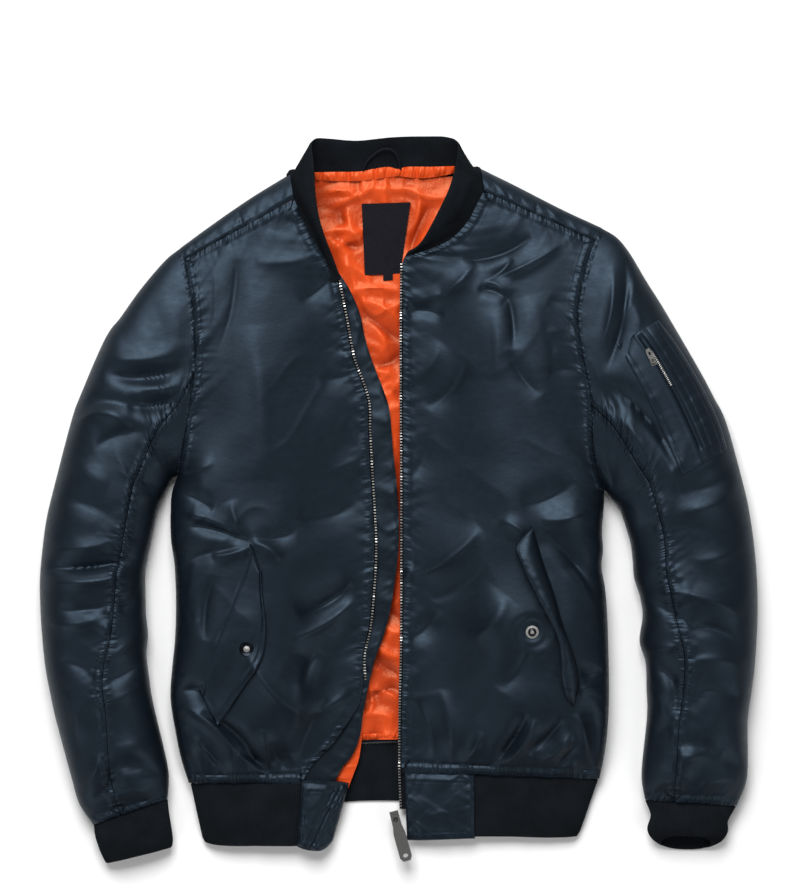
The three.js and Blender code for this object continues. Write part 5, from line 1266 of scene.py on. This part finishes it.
def label_grid(corners, rows, cols):
    """A label's face between its four corners, clockwise from the upper left, a little over the lining."""
    a, b, c, d = (np.array(p, float) for p in corners)
    t, u = np.linspace(0, 1, rows)[:, None, None], np.linspace(0, 1, cols)[None, :, None]
    plan = mix(mix(a, b, u), mix(d, c, u), t)
    x, y = plan[..., 0], plan[..., 1]
    lift = 2.2 + 0.35 * (lining_height(x, y) - LINING_TOP)
    return stacked(x, y, LINING_TOP + lift)


LABEL_CORNERS = [[361.5, 202.5], [410.5, 201], [400.5, 272.5], [364.6, 274.4]]
LABEL_TAB_CORNERS = [[383, 272.9], [392.9, 272.6], [392.8, 279], [383.2, 279.8]]
LOOP = curve_through([
    [363, 169, 11], [366.5, 161, 14.6], [373, 154.5, 16.8], [381, 149.2, 18.8], [388, 148.2, 19.2],
    [394.5, 151, 18], [399, 160, 14.6], [400.5, 168, 11]])


def tube_grids(path, radius, rows, cols, core=0.3):
    """A round cord's outer face and its core: a circle carried along a path in each point's own frame."""
    t = np.linspace(0, 1, rows)
    point = path(t)
    way = np.gradient(point, axis=0)
    way /= np.linalg.norm(way, axis=1, keepdims=True)
    side = np.cross(way, [0, 0, 1.0])
    side /= np.linalg.norm(side, axis=1, keepdims=True)
    up = np.cross(side, way)
    turn = np.linspace(0, 2 * np.pi, cols, endpoint=False)
    ring = np.cos(turn)[None, :, None] * side[:, None] + np.sin(turn)[None, :, None] * up[:, None]
    twist = 1 + 0.12 * np.cos(3 * turn[None, :] + t[:, None] * 90)
    return point[:, None] + radius * twist[..., None] * ring, point[:, None] + core * ring


# The opening: zips, wind flap and stitched bands

ZIP_RIGHT = curve_through([[337, 279], *RIGHT_EDGE, [363, 681]])
ZIP_LEFT = curve_through([[403.6, 262], *LEFT_EDGE, [403, 811]])
WIND_FLAP_INNER = curve_through([[336, 279], *RIGHT_EDGE, *RIGHT_CORNER, [301, 782], [300, 793]])
WIND_FLAP_EDGE = curve_through([
    [340, 274], [350, 290], [360, 314], [365, 338], [374, 366], [382, 386], [389, 408], [393, 450],
    [398, 500], [398.5, 549], [393, 594], [389, 616], [383, 638], [375.7, 658], [369, 684], [363, 715],
    [359.7, 737], [352, 756.5], [342, 769], [335, 782], [332, 793]])


def beside(path, t, offset, towards):
    """Points beside a plan path, offset millimetres off it to the side that towards names."""
    ahead = path(np.minimum(1, t + 0.004)) - path(np.maximum(0, t - 0.004))
    ahead /= np.linalg.norm(ahead, axis=-1, keepdims=True)
    turn = np.sign(ahead[..., 1]) * towards
    turn = np.where(turn == 0, towards, turn)
    at = path(t)
    return np.stack([at[..., 0] + ahead[..., 1] * offset * turn,
                     at[..., 1] - ahead[..., 0] * offset * turn], -1)


def right_edge_height(t):
    """The lowest height of the right front's face beside its zip."""
    inside = [beside(ZIP_RIGHT, t, -away, 1) for away in (1.0, 4.5, 8.0)]
    return np.min([front_height(FRONTS["front_right"], p[..., 0], p[..., 1]) for p in inside], axis=0)


def left_edge_height(t):
    """The lowest height beside the left front's zip, passing on to the hem's end panel below."""
    inside = [beside(ZIP_LEFT, t, -away, -1) for away in (1.0, 4.5, 8.0)]
    cloth = np.min([front_height(FRONTS["front_left"], p[..., 0], p[..., 1]) for p in inside], axis=0)
    y = inside[0][..., 1]
    panel = mix(14.4, 12.2, np.clip((y - 775) / 67, 0, 1))
    return mix(cloth, panel, smooth((y - 768) / 8))


def zip_row(name, path, towards, height, rows):
    """A tape with its teeth: a woven strip under the cloth's edge and moulded teeth along its cord."""
    look = bpy.context.scene.jacket
    t = np.linspace(0, 1, rows)
    offsets = np.array([-7.2, -2, 0.6, 1.1, 1.6, 2.9, 3.3])
    tops = np.array([0, 0, 0.1, 0.7, 0.9, 0.8, 0.2])
    level = height(t) - WALL - 0.9
    plan = np.stack([beside(path, t, away, towards) for away in offsets], 1)
    top = np.concatenate([plan, (level[:, None] + tops[None, :])[..., None]], -1)
    low = top - [0, 0, 1.2]
    tape = closed_wall(name, top, low, finish("woven_tape"))
    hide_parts(name)
    middle = np.concatenate([beside(path, t, 2.2, towards), (level + 1.5)[:, None]], -1)
    centre, way = along_line(middle, look.tooth_pitch, 2.0)
    size = np.array([0.78, 1.3, 1.2])
    low_ring = np.array([[-1, -1, -1], [1, -1, -1], [1, 1, -1], [-1, 1, -1]]) * size
    mid_ring = np.array([[-1, -1, 0.3], [1, -1, 0.3], [1, 1, 0.3], [-1, 1, 0.3]]) * size
    top_ring = np.array([[-0.62, -0.8, 1], [0.62, -0.8, 1], [0.62, 0.8, 1], [-0.62, 0.8, 1]]) * size
    shape = np.vstack([low_ring, mid_ring, top_ring])
    ring = np.array([[0, 1, 5, 4], [1, 2, 6, 5], [2, 3, 7, 6], [3, 0, 4, 7]])
    faces = np.vstack([[[3, 2, 1, 0]], ring, ring + 4, [[8, 9, 10, 11]]])
    teeth = joined_solids(name + "_teeth", centre, frames_of(way), shape, faces, finish("tooth_metal"))
    teeth.data.set_sharp_from_angle(angle=np.radians(35))
    return tape, teeth


def wind_flap_grid():
    """The flap's face behind the zip: from under the right front's edge to its own free, stitched edge."""
    t, u = np.linspace(0, 1, 260)[:, None], np.linspace(0, 1, 17)[None, :]
    inner = beside(WIND_FLAP_INNER, t[:, 0], -9, 1)[:, None]
    plan = mix(inner, WIND_FLAP_EDGE(t[:, 0])[:, None], u[..., None])
    x, y = plan[..., 0], plan[..., 1]
    near = beside(WIND_FLAP_INNER, t[:, 0], -4, 1)
    level = front_height(FRONTS["front_right"], near[:, 0], near[:, 1])[:, None] - WALL - 4.2
    away = (1 - u) * np.linalg.norm(plan[:, -1] - plan[:, 0], axis=-1)[:, None]
    run = t * 560
    steep = smooth((440 - y) / 70)
    z = np.maximum(LINING_TOP + mix(9.5, 6, steep), level - mix(4, 13, steep) * u ** mix(2, 1.1, steep))
    soft = 1.2 * cloud(x, y, 26, 401) + 1.8 * crumpled(0.6 * x + 0.8 * y, 0.5 * y - x, 26, 402)
    z = z + soft * smooth(u / 0.4)
    z = z + topstitched(run, away, (2.6,), 404, 0.7) - 0.6
    return stacked(x, y, z)


# Pockets

FLAP_RIGHT_SEAM = curve_through([
    [252, 543], [243, 570], [231.4, 601], [216.6, 638], [207, 667], [199.5, 691]])
FLAP_RIGHT_FREE = curve_through([
    [262, 571], [264, 599], [267, 621], [266, 643], [262, 660], [240, 693], [219, 725]])
FLAP_LEFT_SEAM = curve_through([
    [530.5, 525], [534.5, 538], [542, 563], [552, 592], [562, 628], [571, 652], [577.5, 680], [572, 706]])
FLAP_LEFT_REACH = table(
    "at reach rise",
    [0, 3, 3], [0.1, 21, 12], [0.22, 21, 16], [0.38, 17, 18], [0.52, 11.5, 18], [0.6, 9, 17],
    [0.72, 13, 16], [0.84, 17, 13], [0.93, 12, 9], [1, 2.5, 4])
FLAP_THICK = 2.2
FLAP_RIGHT_LENGTH = 150.0
FLAP_LEFT_LENGTH = 190.0
FLAP_RIGHT_STITCHED = (39, 5)  # the columns of its grid that carry a row of stitches
FLAP_LEFT_STITCHED = (6, 24)
ARM_POCKET_INNER = curve_through([
    [616, 345], [630, 368], [648, 402], [664, 438], [681, 475]])
ARM_POCKET_OUTER = curve_through([
    [658, 320], [675, 342], [694, 372], [711, 404], [721, 428], [727, 449]])
PEN_CHANNEL = table(
    "at raise",
    [0, 0], [0.52, 0], [0.58, 1.6], [0.9, 1.6], [1, 0.6])
ARM_ZIP = 0.5
ARM_POCKET_WIDTH = 48.0
ARM_POCKET_LENGTH = 150.0


def flap_right_grid():
    """The shut flap on the right front: it follows the cloth below and lifts towards its free edge."""
    t, u = np.linspace(0, 1, 90)[:, None], np.linspace(0, 1, 44)[None, :]
    plan = mix(FLAP_RIGHT_SEAM(t[:, 0])[:, None], FLAP_RIGHT_FREE(t[:, 0])[:, None], u[..., None])
    x, y = plan[..., 0], plan[..., 1]
    width = np.linalg.norm(plan[:, -1] - plan[:, 0], axis=-1)[:, None]
    rim = np.minimum((1 - u) * width, np.minimum(t, 1 - t) * FLAP_RIGHT_LENGTH)
    z = front_height(FRONTS["front_right"], x, y) + 0.9 + 2.2 * u * u + FLAP_THICK
    puckers = wave(t * FLAP_RIGHT_LENGTH + u * 9, 6.5, 411)
    z = z - 1.0 * np.exp(-(((rim - 5.5) / 1.1) ** 2)) + 0.7 * puckers * np.exp(-rim / 7)
    z = z + 0.6 * cloud(x, y, 17, 412) - 1.8 * (1 - rounded(rim / 1.6))
    z = z - 0.9 * np.exp(-((u * width - 6) / 1.1) ** 2)
    return stacked(x, y, z)


def flap_left_grid():
    """The open flap on the left front: it curls up from its seam along a sine, back towards the opening."""
    t, v = np.linspace(0, 1, 90)[:, None], np.linspace(0, 1, 30)[None, :]
    seam = FLAP_LEFT_SEAM(t)
    reach, rise = (column(FLAP_LEFT_REACH, k, t) for k in ("reach", "rise"))
    floor = front_height(FRONTS["front_left"], seam[..., 0], seam[..., 1]) + 0.4 + FLAP_THICK / 2
    rim = np.minimum((1 - v) * (reach + 6), v * (reach + 6))
    run = t * FLAP_LEFT_LENGTH
    x = seam[..., 0] + 2 * np.sin(np.pi * v) - reach * v**1.4 + 0.6 * wave(run + v * 6, 13, 421) * v
    y = seam[..., 1] + 5 * v * (1 - 2 * t)
    z = floor + rise * np.sin(1.9 * v) + 0.6 * cloud(run, v * 26, 14, 422) * smooth(v * 3)
    z = z + topstitched(run, rim, (2.2,), 423, 0.7) * smooth(v * 5) - 0.4 * v
    pinch = 4.5 * np.exp(-(((t - 0.53) / 0.045) ** 2)) * np.exp(-(((v - 0.45) / 0.22) ** 2))
    return stacked(x, y, z - pinch)


def arm_pocket_surface(t, u):
    """The sleeve pocket's face: it follows the sleeve, dips at its zip and swells over the pen channel.

    Three stitched rows run down it, and the dip narrows where the zip's teeth give way to a seam.
    """
    t, u = np.broadcast_arrays(t, u)
    plan = mix(ARM_POCKET_INNER(t), ARM_POCKET_OUTER(t), u[..., None])
    x, y = plan[..., 0], plan[..., 1]
    across, down = u * ARM_POCKET_WIDTH, t * ARM_POCKET_LENGTH
    rim = np.minimum(np.minimum(across, ARM_POCKET_WIDTH - across),
                     np.minimum(down, ARM_POCKET_LENGTH - down))
    raise_by = column(PEN_CHANNEL, "raise", u) * smooth(t * 12) * smooth((1 - t) * 12)
    z = sleeve_height(SLEEVES["left"], x, y) + 1.9 + raise_by
    for line in (4.5, 33.0, 43.0):
        away = np.abs(across - line)
        z = z - 0.45 * np.exp(-((away / 0.9) ** 2)) + 0.4 * wave(down, 6, 431) * np.exp(-away / 4)
    dip = np.abs(across - ARM_ZIP * ARM_POCKET_WIDTH)
    slit = mix(2.4, 1.3, smooth((down - 60) / 12))
    z = z - 1.4 * np.exp(-((dip / slit) ** 4)) * smooth(down / 9) * smooth((138 - down) / 6)
    z = z + 0.5 * np.exp(-(((dip - 4.2) / 1.6) ** 2)) - 0.9 * (1 - rounded(rim / 1.4))
    return stacked(x, y, z)


# Stitching

def stitch_rows(name, lines):
    """Rows of thread: small eight-sided stitches, evenly spaced along lines that lie on the cloth."""
    look = bpy.context.scene.jacket
    parts = [along_line(line, look.stitch_pitch, 1.0) for line in lines]
    centre = np.concatenate([p[0] for p in parts]) + [0, 0, 0.12]
    way = np.concatenate([p[1] for p in parts])
    size = np.array([look.stitch_length / 2, 0.34, 0.3])
    shape = np.array([[1, 0, -0.3], [-1, 0, -0.3], [0, 1, 0], [0, -1, 0], [0, 0, 1], [0, 0, -1.0]]) * size
    faces = np.array([[0, 2, 4], [2, 1, 4], [1, 3, 4], [3, 0, 4], [2, 0, 5], [1, 2, 5], [3, 1, 5], [0, 3, 5]])
    return joined_solids(name, centre, frames_of(way), shape, faces, finish("thread"))


def front_stitches(front):
    """A front's stitching: by its zip, over its hem, along its yoke seam and beside its armhole."""
    at = np.linspace(0, 1, 420)
    border, end = front["border"], front["opening"](at)
    bx, by = border_point(border, at)
    span = np.hypot(end[:, 0] - bx, end[:, 1] - by)
    placket = front_surface(front, at, 1 - PLACKET / span)[12:-8]
    u = np.linspace(0.01, 0.96, 200)
    hem = front_surface(front, np.full(200, 1 - HEM_BAND / border["length"]), u)
    hem_low = front_surface(front, np.full(200, 1 - 2.2 / border["length"]), u)
    yoke = front_surface(front, np.full(200, 2.4 / border["length"]), u)
    armhole = front_surface(front, at, 2.6 / span)[at < border["underarm"] * 0.95]
    return [placket, hem, hem_low, yoke, armhole]


def sleeve_stitches(sleeve):
    """A sleeve's stitching: two rows along its felled front seam and one above its cuff."""
    k = np.linspace(0.05, len(sleeve["sections"]["at"]) - 1.05, 500)
    share = column(sleeve["sections"], "seam", k)
    s = {name: column(sleeve["sections"], name, k) for name in ("outerX", "outerY", "innerX", "innerY")}
    width = np.hypot(s["innerX"] - s["outerX"], s["innerY"] - s["outerY"])
    rows = [sleeve_surface(sleeve, k, seam_turn(share - away / width)) for away in (1.4, FELL - 1.2)]
    last = len(sleeve["sections"]["at"]) - 1
    turn = np.linspace(0.03, 0.47, 160)
    return rows + [sleeve_surface(sleeve, np.full(160, last - away), turn) for away in (0.1, 0.34)]


def pocket_stitches():
    """The sleeve pocket's stitching: rows down it, along both of its ends and across the pen channel."""
    t, along = np.linspace(0.02, 0.98, 160), np.linspace(0.03, 0.97, 90)
    rows = [arm_pocket_surface(t, np.full(160, share)) for share in (0.035, 0.43, 0.57, 0.69, 0.9, 0.975)]
    rows += [arm_pocket_surface(np.full(90, share), along) for share in (0.016, 0.975)]
    return rows + [arm_pocket_surface(np.full(40, 0.42), np.linspace(0.69, 0.97, 40))]


# Finishes, each made once

def finish(name):
    """The material of that name, made from the panel's settings if the scene has none yet."""
    if name in bpy.data.materials:
        return bpy.data.materials[name]
    cloth = bpy.context.scene.jacket
    made = {
        "shell_nylon": lambda: shell_nylon(cloth),
        # The wind flap's nylon at half brightness: painted shade for the shadow it lies in under the right
        # front.
        "shaded_flap_nylon": lambda: shell_nylon(cloth, "shaded_flap_nylon", 0.5),
        "knitted_rib": lambda: rib_knit(cloth),
        "lining_satin": lambda: lining_satin(cloth),
        "woven_tape": lambda: plain_cloth("woven_tape", (0.006, 0.007, 0.01), 0.8, 1500),
        "label_cloth": lambda: plain_cloth("label_cloth", (0.0085, 0.0080, 0.0115), 0.75, 1300),
        "loop_cord": lambda: plain_cloth("loop_cord", (0.008, 0.009, 0.014), 0.7, 1800),
        # Thread: the shell's navy made nine times as bright; the added lightness is a painted highlight on
        # the stitches.
        "thread": lambda: plain_cloth("thread", shade(cloth.shell_colour, 9), 0.6, 2500),
        "tooth_metal": lambda: aged_metal("tooth_metal", (0.62, 0.62, 0.60), 0.32),
        "slider_metal": lambda: aged_metal("slider_metal", (0.20, 0.20, 0.195), 0.42),
        # The snap cap is dark metal; its bright middle is a painted highlight.
        "cap_metal_painted_highlight": lambda: ringed_metal("cap_metal_painted_highlight", middle_of("snap_cap"), 3.4, 9.0, (0.75, 0.75, 0.74),
                                          (0.015, 0.018, 0.024)),
        "stud_metal": lambda: ringed_metal("stud_metal", middle_of("snap_stud"), 2.0, 4.0, (0.72, 0.72, 0.70),
                                           (0.03, 0.03, 0.035)),
    }
    return made[name]()


def middle_of(node):
    """The middle of a CAD node's box, in metres."""
    low, high = (np.array(corner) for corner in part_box(node))
    return (low + high) / 2


# Settings, operators and panel

class JacketSettings(PropertyGroup):
    """Colours and sizes that a user may change before the pieces are made."""

    shell_colour: FloatVectorProperty(
        name="Shell colour", description="Colour of the nylon shell", subtype="COLOR", size=3, min=0, max=1,
        default=(0.0022, 0.0040, 0.0068))
    shell_roughness: FloatProperty(
        name="Shell roughness", description="How dull the nylon is", subtype="FACTOR", min=0, max=1,
        default=0.47)
    rib_colour: FloatVectorProperty(
        name="Rib colour", description="Colour of the knitted collar, cuffs and hem", subtype="COLOR", size=3,
        min=0, max=1, default=(0.0052, 0.0068, 0.0092))
    lining_colour: FloatVectorProperty(
        name="Lining colour", description="Colour of the lining satin", subtype="COLOR", size=3, min=0, max=1,
        default=(0.60, 0.060, 0.0095))
    rib_pitch: FloatProperty(
        name="Rib pitch", description="Distance between knitted ribs, in millimetres", min=1, max=6,
        default=2.3)
    rib_depth: FloatProperty(
        name="Rib depth", description="How far each rib stands out, in millimetres", min=0, max=1.5,
        default=0.34)
    stitch_pitch: FloatProperty(
        name="Stitch pitch", description="Distance from stitch to stitch, in millimetres", min=1, max=8,
        default=3.2)
    stitch_length: FloatProperty(
        name="Stitch length", description="Length of each stitch, in millimetres", min=0.5, max=7,
        default=2.4)
    tooth_pitch: FloatProperty(
        name="Tooth pitch", description="Distance from zip tooth to zip tooth, in millimetres", min=1, max=8,
        default=2.9)
    key_power: FloatProperty(
        name="Key light", description="Power of the large key light", unit="POWER", min=0, default=140)
    fill_power: FloatProperty(
        name="Fill lights", description="Power of each fill light", unit="POWER", min=0, default=20)
    world_light: FloatProperty(
        name="Room light", description="Strength of the even light from all round", min=0, default=0.15)


class JacketOperator:
    """What all of the operators share."""

    bl_options = {"REGISTER", "UNDO"}


class JACKET_OT_fronts(JacketOperator, Operator):
    """Makes both padded fronts with their creases, stitched plackets and hem gathers"""

    bl_idname = "jacket.fronts"
    bl_label = "Fronts"

    def execute(self, context):
        for name, front in FRONTS.items():
            at, u = np.linspace(0, 1, 300)[:, None], graded(96)[None, :]
            outer = front_surface(front, at, u)
            obj = cloth_wall(name, outer, WALL, finish("shell_nylon"))
            map_seams(obj, *front_seams(front, at, u))
            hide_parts(name)
        return {"FINISHED"}


class JACKET_OT_yokes(JacketOperator, Operator):
    """Makes the two yokes over the shoulders"""

    bl_idname = "jacket.yokes"
    bl_label = "Shoulder yokes"

    def execute(self, context):
        for name, yoke in YOKES.items():
            across = 1 - np.cos(np.linspace(0, np.pi / 2, 30))
            outer = yoke_surface(yoke, np.linspace(0.004, 1, 76)[:, None], across[None, :])
            obj = cloth_wall(name, outer, WALL, finish("shell_nylon"))
            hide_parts(name)
        return {"FINISHED"}


class JACKET_OT_back(JacketOperator, Operator):
    """Makes the back panel, which lies on the floor and turns up at its edges"""

    bl_idname = "jacket.back"
    bl_label = "Back"

    def execute(self, context):
        outer, inner = back_grids()
        obj = closed_wall("back", outer, inner, finish("shell_nylon"))
        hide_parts("back")
        return {"FINISHED"}


class JACKET_OT_sleeves(JacketOperator, Operator):
    """Makes the top and under panels of both sleeves"""

    bl_idname = "jacket.sleeves"
    bl_label = "Sleeves"

    def execute(self, context):
        for side, sleeve in SLEEVES.items():
            last = len(sleeve["sections"]["at"]) - 1
            gap = 0.0009
            k = np.linspace(0, last, 230)[:, None]
            front = seam_turn(column(sleeve["sections"], "seam", k))
            turn_top = mix(front - gap, HIDDEN_SEAM - 1 + gap, np.linspace(0, 1, 80)[None, :])
            top = (k, turn_top)
            k = np.linspace(0, last, 170)[:, None]
            front = seam_turn(column(sleeve["sections"], "seam", k))
            under = (k, mix(front + gap, HIDDEN_SEAM - gap, np.linspace(0, 1, 52)[None, :]))
            for name, at, faces_down in ((f"sleeve_top_{side}", top, False),
                                         (f"sleeve_under_{side}", under, True)):
                outer = sleeve_surface(sleeve, *at)
                obj = cloth_wall(name, outer, WALL, finish("shell_nylon"), faces_down)
                map_seams(obj, *sleeve_seams(sleeve, *at))
                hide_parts(name)
        return {"FINISHED"}


class JACKET_OT_ribs(JacketOperator, Operator):
    """Knits the collar, the hem and both cuffs"""

    bl_idname = "jacket.ribs"
    bl_label = "Knitted ribs"

    def execute(self, context):
        knit_band("collar", COLLAR, 201, 1.6, tuck=6)
        knit_band("hem_rib", HEM_RIB, 211, 1.9)
        knit_cuff("cuff_right", CUFF_RIGHT, 221)
        knit_cuff("cuff_left", CUFF_LEFT, 231)
        return {"FINISHED"}


class JACKET_OT_hem_ends(JacketOperator, Operator):
    """Makes the smooth panels that end the hem at the opening"""

    bl_idname = "jacket.hem_ends"
    bl_label = "Hem end panels"

    def execute(self, context):
        for name, stations, seed, fold in (("hem_end_right", HEM_END_RIGHT, 241, END_PANEL_FOLD),
                                           ("hem_end_left", HEM_END_LEFT, 251, None)):
            along, across = np.linspace(0, 1, 64)[None, :], np.linspace(-0.05, 1, 64)[:, None]
            grid = end_panel_surface(stations, along, across, seed, fold)
            obj = soft_wall(name, grid, WALL, finish("shell_nylon"))
            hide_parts(name)
        return {"FINISHED"}


class JACKET_OT_lining(JacketOperator, Operator):
    """Makes the lining of the back, its gathered bindings, the label and the hanger loop"""

    bl_idname = "jacket.lining"
    bl_label = "Lining and label"

    def execute(self, context):
        top = lining_grid()
        low = top.copy()
        low[..., 2] = LINING_BASE
        lining = closed_wall("back_lining", top, low, finish("lining_satin"))
        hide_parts("back_lining")
        strips = [gathered_strip("neck_binding", NECK_BINDING, 311),
                  gathered_strip("hem_binding", HEM_BINDING, 321, pitch=3.6),
                  gathered_strip("corner_facing", CORNER_FACING, 331, pitch=6, depth=0.6)]
        for name, corners, node in (("label", LABEL_CORNERS, "label"),
                                    ("label_tab", LABEL_TAB_CORNERS, None)):
            grid = label_grid(corners, 40, 30)
            piece = cloth_wall(name, grid, 0.7, finish("label_cloth"))
            if node:
                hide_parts(node)
        outer, core = tube_grids(LOOP, 1.3, 90, 14)
        loop = closed_wall("hanger_loop", outer, core, finish("loop_cord"), loop=True)
        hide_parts("hanger_loop")
        return {"FINISHED"}


class JACKET_OT_zips(JacketOperator, Operator):
    """Makes the open zip's two tapes with their teeth, and the wind flap behind it"""

    bl_idname = "jacket.zips"
    bl_label = "Zip and wind flap"

    def execute(self, context):
        zip_row("zip_tape_right", ZIP_RIGHT, 1, right_edge_height, 200)
        zip_row("zip_tape_left", ZIP_LEFT, -1, left_edge_height, 220)
        grid = wind_flap_grid()
        # Its nylon is darkened to half as painted shade.
        flap = cloth_wall("wind_flap", grid, 1.6, finish("shaded_flap_nylon"))
        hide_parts("wind_flap")
        return {"FINISHED"}


class JACKET_OT_pockets(JacketOperator, Operator):
    """Makes the two front pocket flaps and the sleeve's zip pocket"""

    bl_idname = "jacket.pockets"
    bl_label = "Pockets"

    def execute(self, context):
        shell = finish("shell_nylon")
        grid = flap_right_grid()
        obj = cloth_wall("pocket_flap_right", grid, FLAP_THICK, shell)
        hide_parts("pocket_flap_right")
        grid = flap_left_grid()
        obj = soft_wall("pocket_flap_left", grid.transpose(1, 0, 2), FLAP_THICK, shell)
        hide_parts("pocket_flap_left")
        grid = arm_pocket_surface(np.linspace(0, 1, 110)[:, None], np.linspace(0, 1, 61)[None, :])
        obj = cloth_wall("arm_pocket", grid, 1.3, shell)
        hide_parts("arm_pocket")
        line = arm_pocket_surface(np.linspace(0.07, 0.43, 60), np.full(60, ARM_ZIP)) + [0, 0, 0.35]
        centre, way = along_line(line, 1.9, 14)
        size = np.array([0.6, 1.5, 0.6])
        shape = np.array([[a, b, c] for c in (-1, 1) for a, b in ((-1, -1), (1, -1), (1, 1), (-1, 1))]) * size
        faces = np.array([[3, 2, 1, 0], [4, 5, 6, 7], [0, 1, 5, 4], [1, 2, 6, 5], [2, 3, 7, 6], [3, 0, 4, 7]])
        joined_solids("arm_zip_teeth", centre, frames_of(way), shape, faces, finish("tooth_metal"))
        return {"FINISHED"}


class JACKET_OT_stitching(JacketOperator, Operator):
    """Sews the rows of thread along plackets, hems, armholes, sleeve seams, the sleeve pocket and flaps"""

    bl_idname = "jacket.stitching"
    bl_label = "Stitching"

    def execute(self, context):
        for name, front in FRONTS.items():
            stitch_rows(name + "_stitches", front_stitches(front))
        for side, sleeve in SLEEVES.items():
            stitch_rows(f"sleeve_{side}_stitches", sleeve_stitches(sleeve))
        stitch_rows("arm_pocket_stitches", pocket_stitches())
        shut, opened = flap_right_grid(), flap_left_grid() + [0, 0, FLAP_THICK / 2]
        by_edge, by_seam = FLAP_RIGHT_STITCHED
        stitch_rows("flap_right_stitches", [shut[3:-3, by_edge], shut[2:-2, by_seam]])
        stitch_rows("flap_left_stitches", [opened[3:-3, k] for k in FLAP_LEFT_STITCHED])
        return {"FINISHED"}


class JACKET_OT_metal(JacketOperator, Operator):
    """Gives the sliders, their pulls and the snap's two parts their worn metal, with a painted highlight in
    the cap's middle
    """

    bl_idname = "jacket.metal"
    bl_label = "Metal parts"

    def execute(self, context):
        for node in ("zip_slider", "zip_pull", "arm_zip_slider", "arm_zip_pull"):
            wear(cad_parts[node], finish("slider_metal"))
        wear(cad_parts["snap_cap"], finish("cap_metal_painted_highlight"))
        wear(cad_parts["snap_stud"], finish("stud_metal"))
        return {"FINISHED"}


def wear(node, material):
    """Puts one material in every slot of a CAD node, and adds it where the node has none."""
    for place in node.material_slots:
        place.material = material
    if not node.material_slots:
        node.data.materials.append(material)


class JACKET_OT_stage(JacketOperator, Operator):
    """Lays a pale floor, sets soft studio lights and hangs the camera straight over the jacket"""

    bl_idname = "jacket.stage"
    bl_label = "Floor, lights and camera"

    def execute(self, context):
        look = context.scene.jacket
        add_floor()
        for name, place, size, power, colour in (
                ("key", (-0.4, 2.0, 2.65), 2.0, look.key_power, (1, 1, 1)),
                ("fill_right", (1.9, -1.7, 1.9), 1.8, look.fill_power, (1, 1, 1)),
                ("fill_left", (-1.9, -1.9, 1.9), 1.8, look.fill_power, (1, 1, 1))):
            add_light(name, place, size, power, colour)
        world = bpy.data.worlds.new("room")
        world.use_nodes = True
        world.node_tree.nodes["Background"].inputs[0].default_value = (1, 1, 1, 1)
        world.node_tree.nodes["Background"].inputs[1].default_value = look.world_light
        context.scene.world = world
        context.scene.view_settings.view_transform = "Standard"
        add_camera()
        return {"FINISHED"}


CAMERA_HEIGHT = 4.0
PHOTO_HEIGHT = 896  # pixels, which are millimetres on the garment
PHOTO_CENTRE = (400, 448)
MEAN_HEIGHT = 0.03
SENSOR = 36.0


def add_floor():
    """A wide sheet of pale paper, 0.6 mm under the jacket."""
    size = 12.0
    mesh = bpy.data.meshes.new("floor")
    corners = np.array([[-1, -1, 0], [1, -1, 0], [1, 1, 0], [-1, 1, 0]]) * size - [0, 0, 0.0006]
    mesh.from_pydata(corners.tolist(), [], [[0, 1, 2, 3]])
    floor = bpy.data.objects.new("floor", mesh)
    material, tree, shader = material_nodes("floor_paper")
    paper = add_range(tree, add_noise(tree, 30, 2), 0, 1)
    add_colour(tree, shader, paper, (0.92, 0.92, 0.92), (0.94, 0.94, 0.94))
    shader.inputs["Roughness"].default_value = 0.9
    mesh.materials.append(material)
    bpy.context.scene.collection.objects.link(floor)


def add_light(name, place, size, power, colour):
    """A square area light that faces the middle of the jacket."""
    data = bpy.data.lights.new(name, "AREA")
    data.shape, data.size, data.energy, data.color = "SQUARE", size, power, colour
    light = bpy.data.objects.new(name, data)
    light.location = place
    towards = -np.array(place)
    level = float(np.hypot(towards[0], towards[1]))
    light.rotation_euler = (np.arctan2(level, -towards[2]), 0, np.arctan2(-towards[0], towards[1]))
    bpy.context.scene.collection.objects.link(light)


def add_camera():
    """Straight down, at a height where one photo pixel is one millimetre at the cloth's mean height."""
    data = bpy.data.cameras.new("camera")
    data.sensor_width = SENSOR
    data.lens = SENSOR * (CAMERA_HEIGHT - MEAN_HEIGHT) / (PHOTO_HEIGHT / 1000)
    camera = bpy.data.objects.new("camera", data)
    x, y = PHOTO_CENTRE[0] - PLAN_CENTRE[0], PLAN_CENTRE[1] - PHOTO_CENTRE[1]
    camera.location = (x / 1000, y / 1000, CAMERA_HEIGHT)
    bpy.context.scene.collection.objects.link(camera)
    bpy.context.scene.camera = camera


OPERATORS = (
    JACKET_OT_fronts, JACKET_OT_yokes, JACKET_OT_back, JACKET_OT_sleeves, JACKET_OT_ribs,
    JACKET_OT_hem_ends, JACKET_OT_lining, JACKET_OT_zips, JACKET_OT_pockets, JACKET_OT_stitching,
    JACKET_OT_metal, JACKET_OT_stage,
)


class JACKET_PT_parts(Panel):
    """Lists the settings and the operators that make the jacket"""

    bl_idname = "JACKET_PT_parts"
    bl_label = "Bomber jacket"
    bl_space_type = "VIEW_3D"
    bl_region_type = "UI"
    bl_category = "Jacket"

    def draw(self, context):
        look = context.scene.jacket
        for name in JacketSettings.__annotations__:
            self.layout.prop(look, name)
        for operator in OPERATORS:
            self.layout.operator(operator.bl_idname)


CLASSES = (JacketSettings, *OPERATORS, JACKET_PT_parts)


def register():
    for cls in CLASSES:
        bpy.utils.register_class(cls)
    bpy.types.Scene.jacket = PointerProperty(type=JacketSettings)


def unregister():
    del bpy.types.Scene.jacket
    for cls in reversed(CLASSES):
        bpy.utils.unregister_class(cls)


def main():
    """Makes every piece in order."""
    register()
    for operator in OPERATORS:
        group, name = operator.bl_idname.split(".")
        getattr(getattr(bpy.ops, group), name)()


if __name__ == "__main__":
    main()
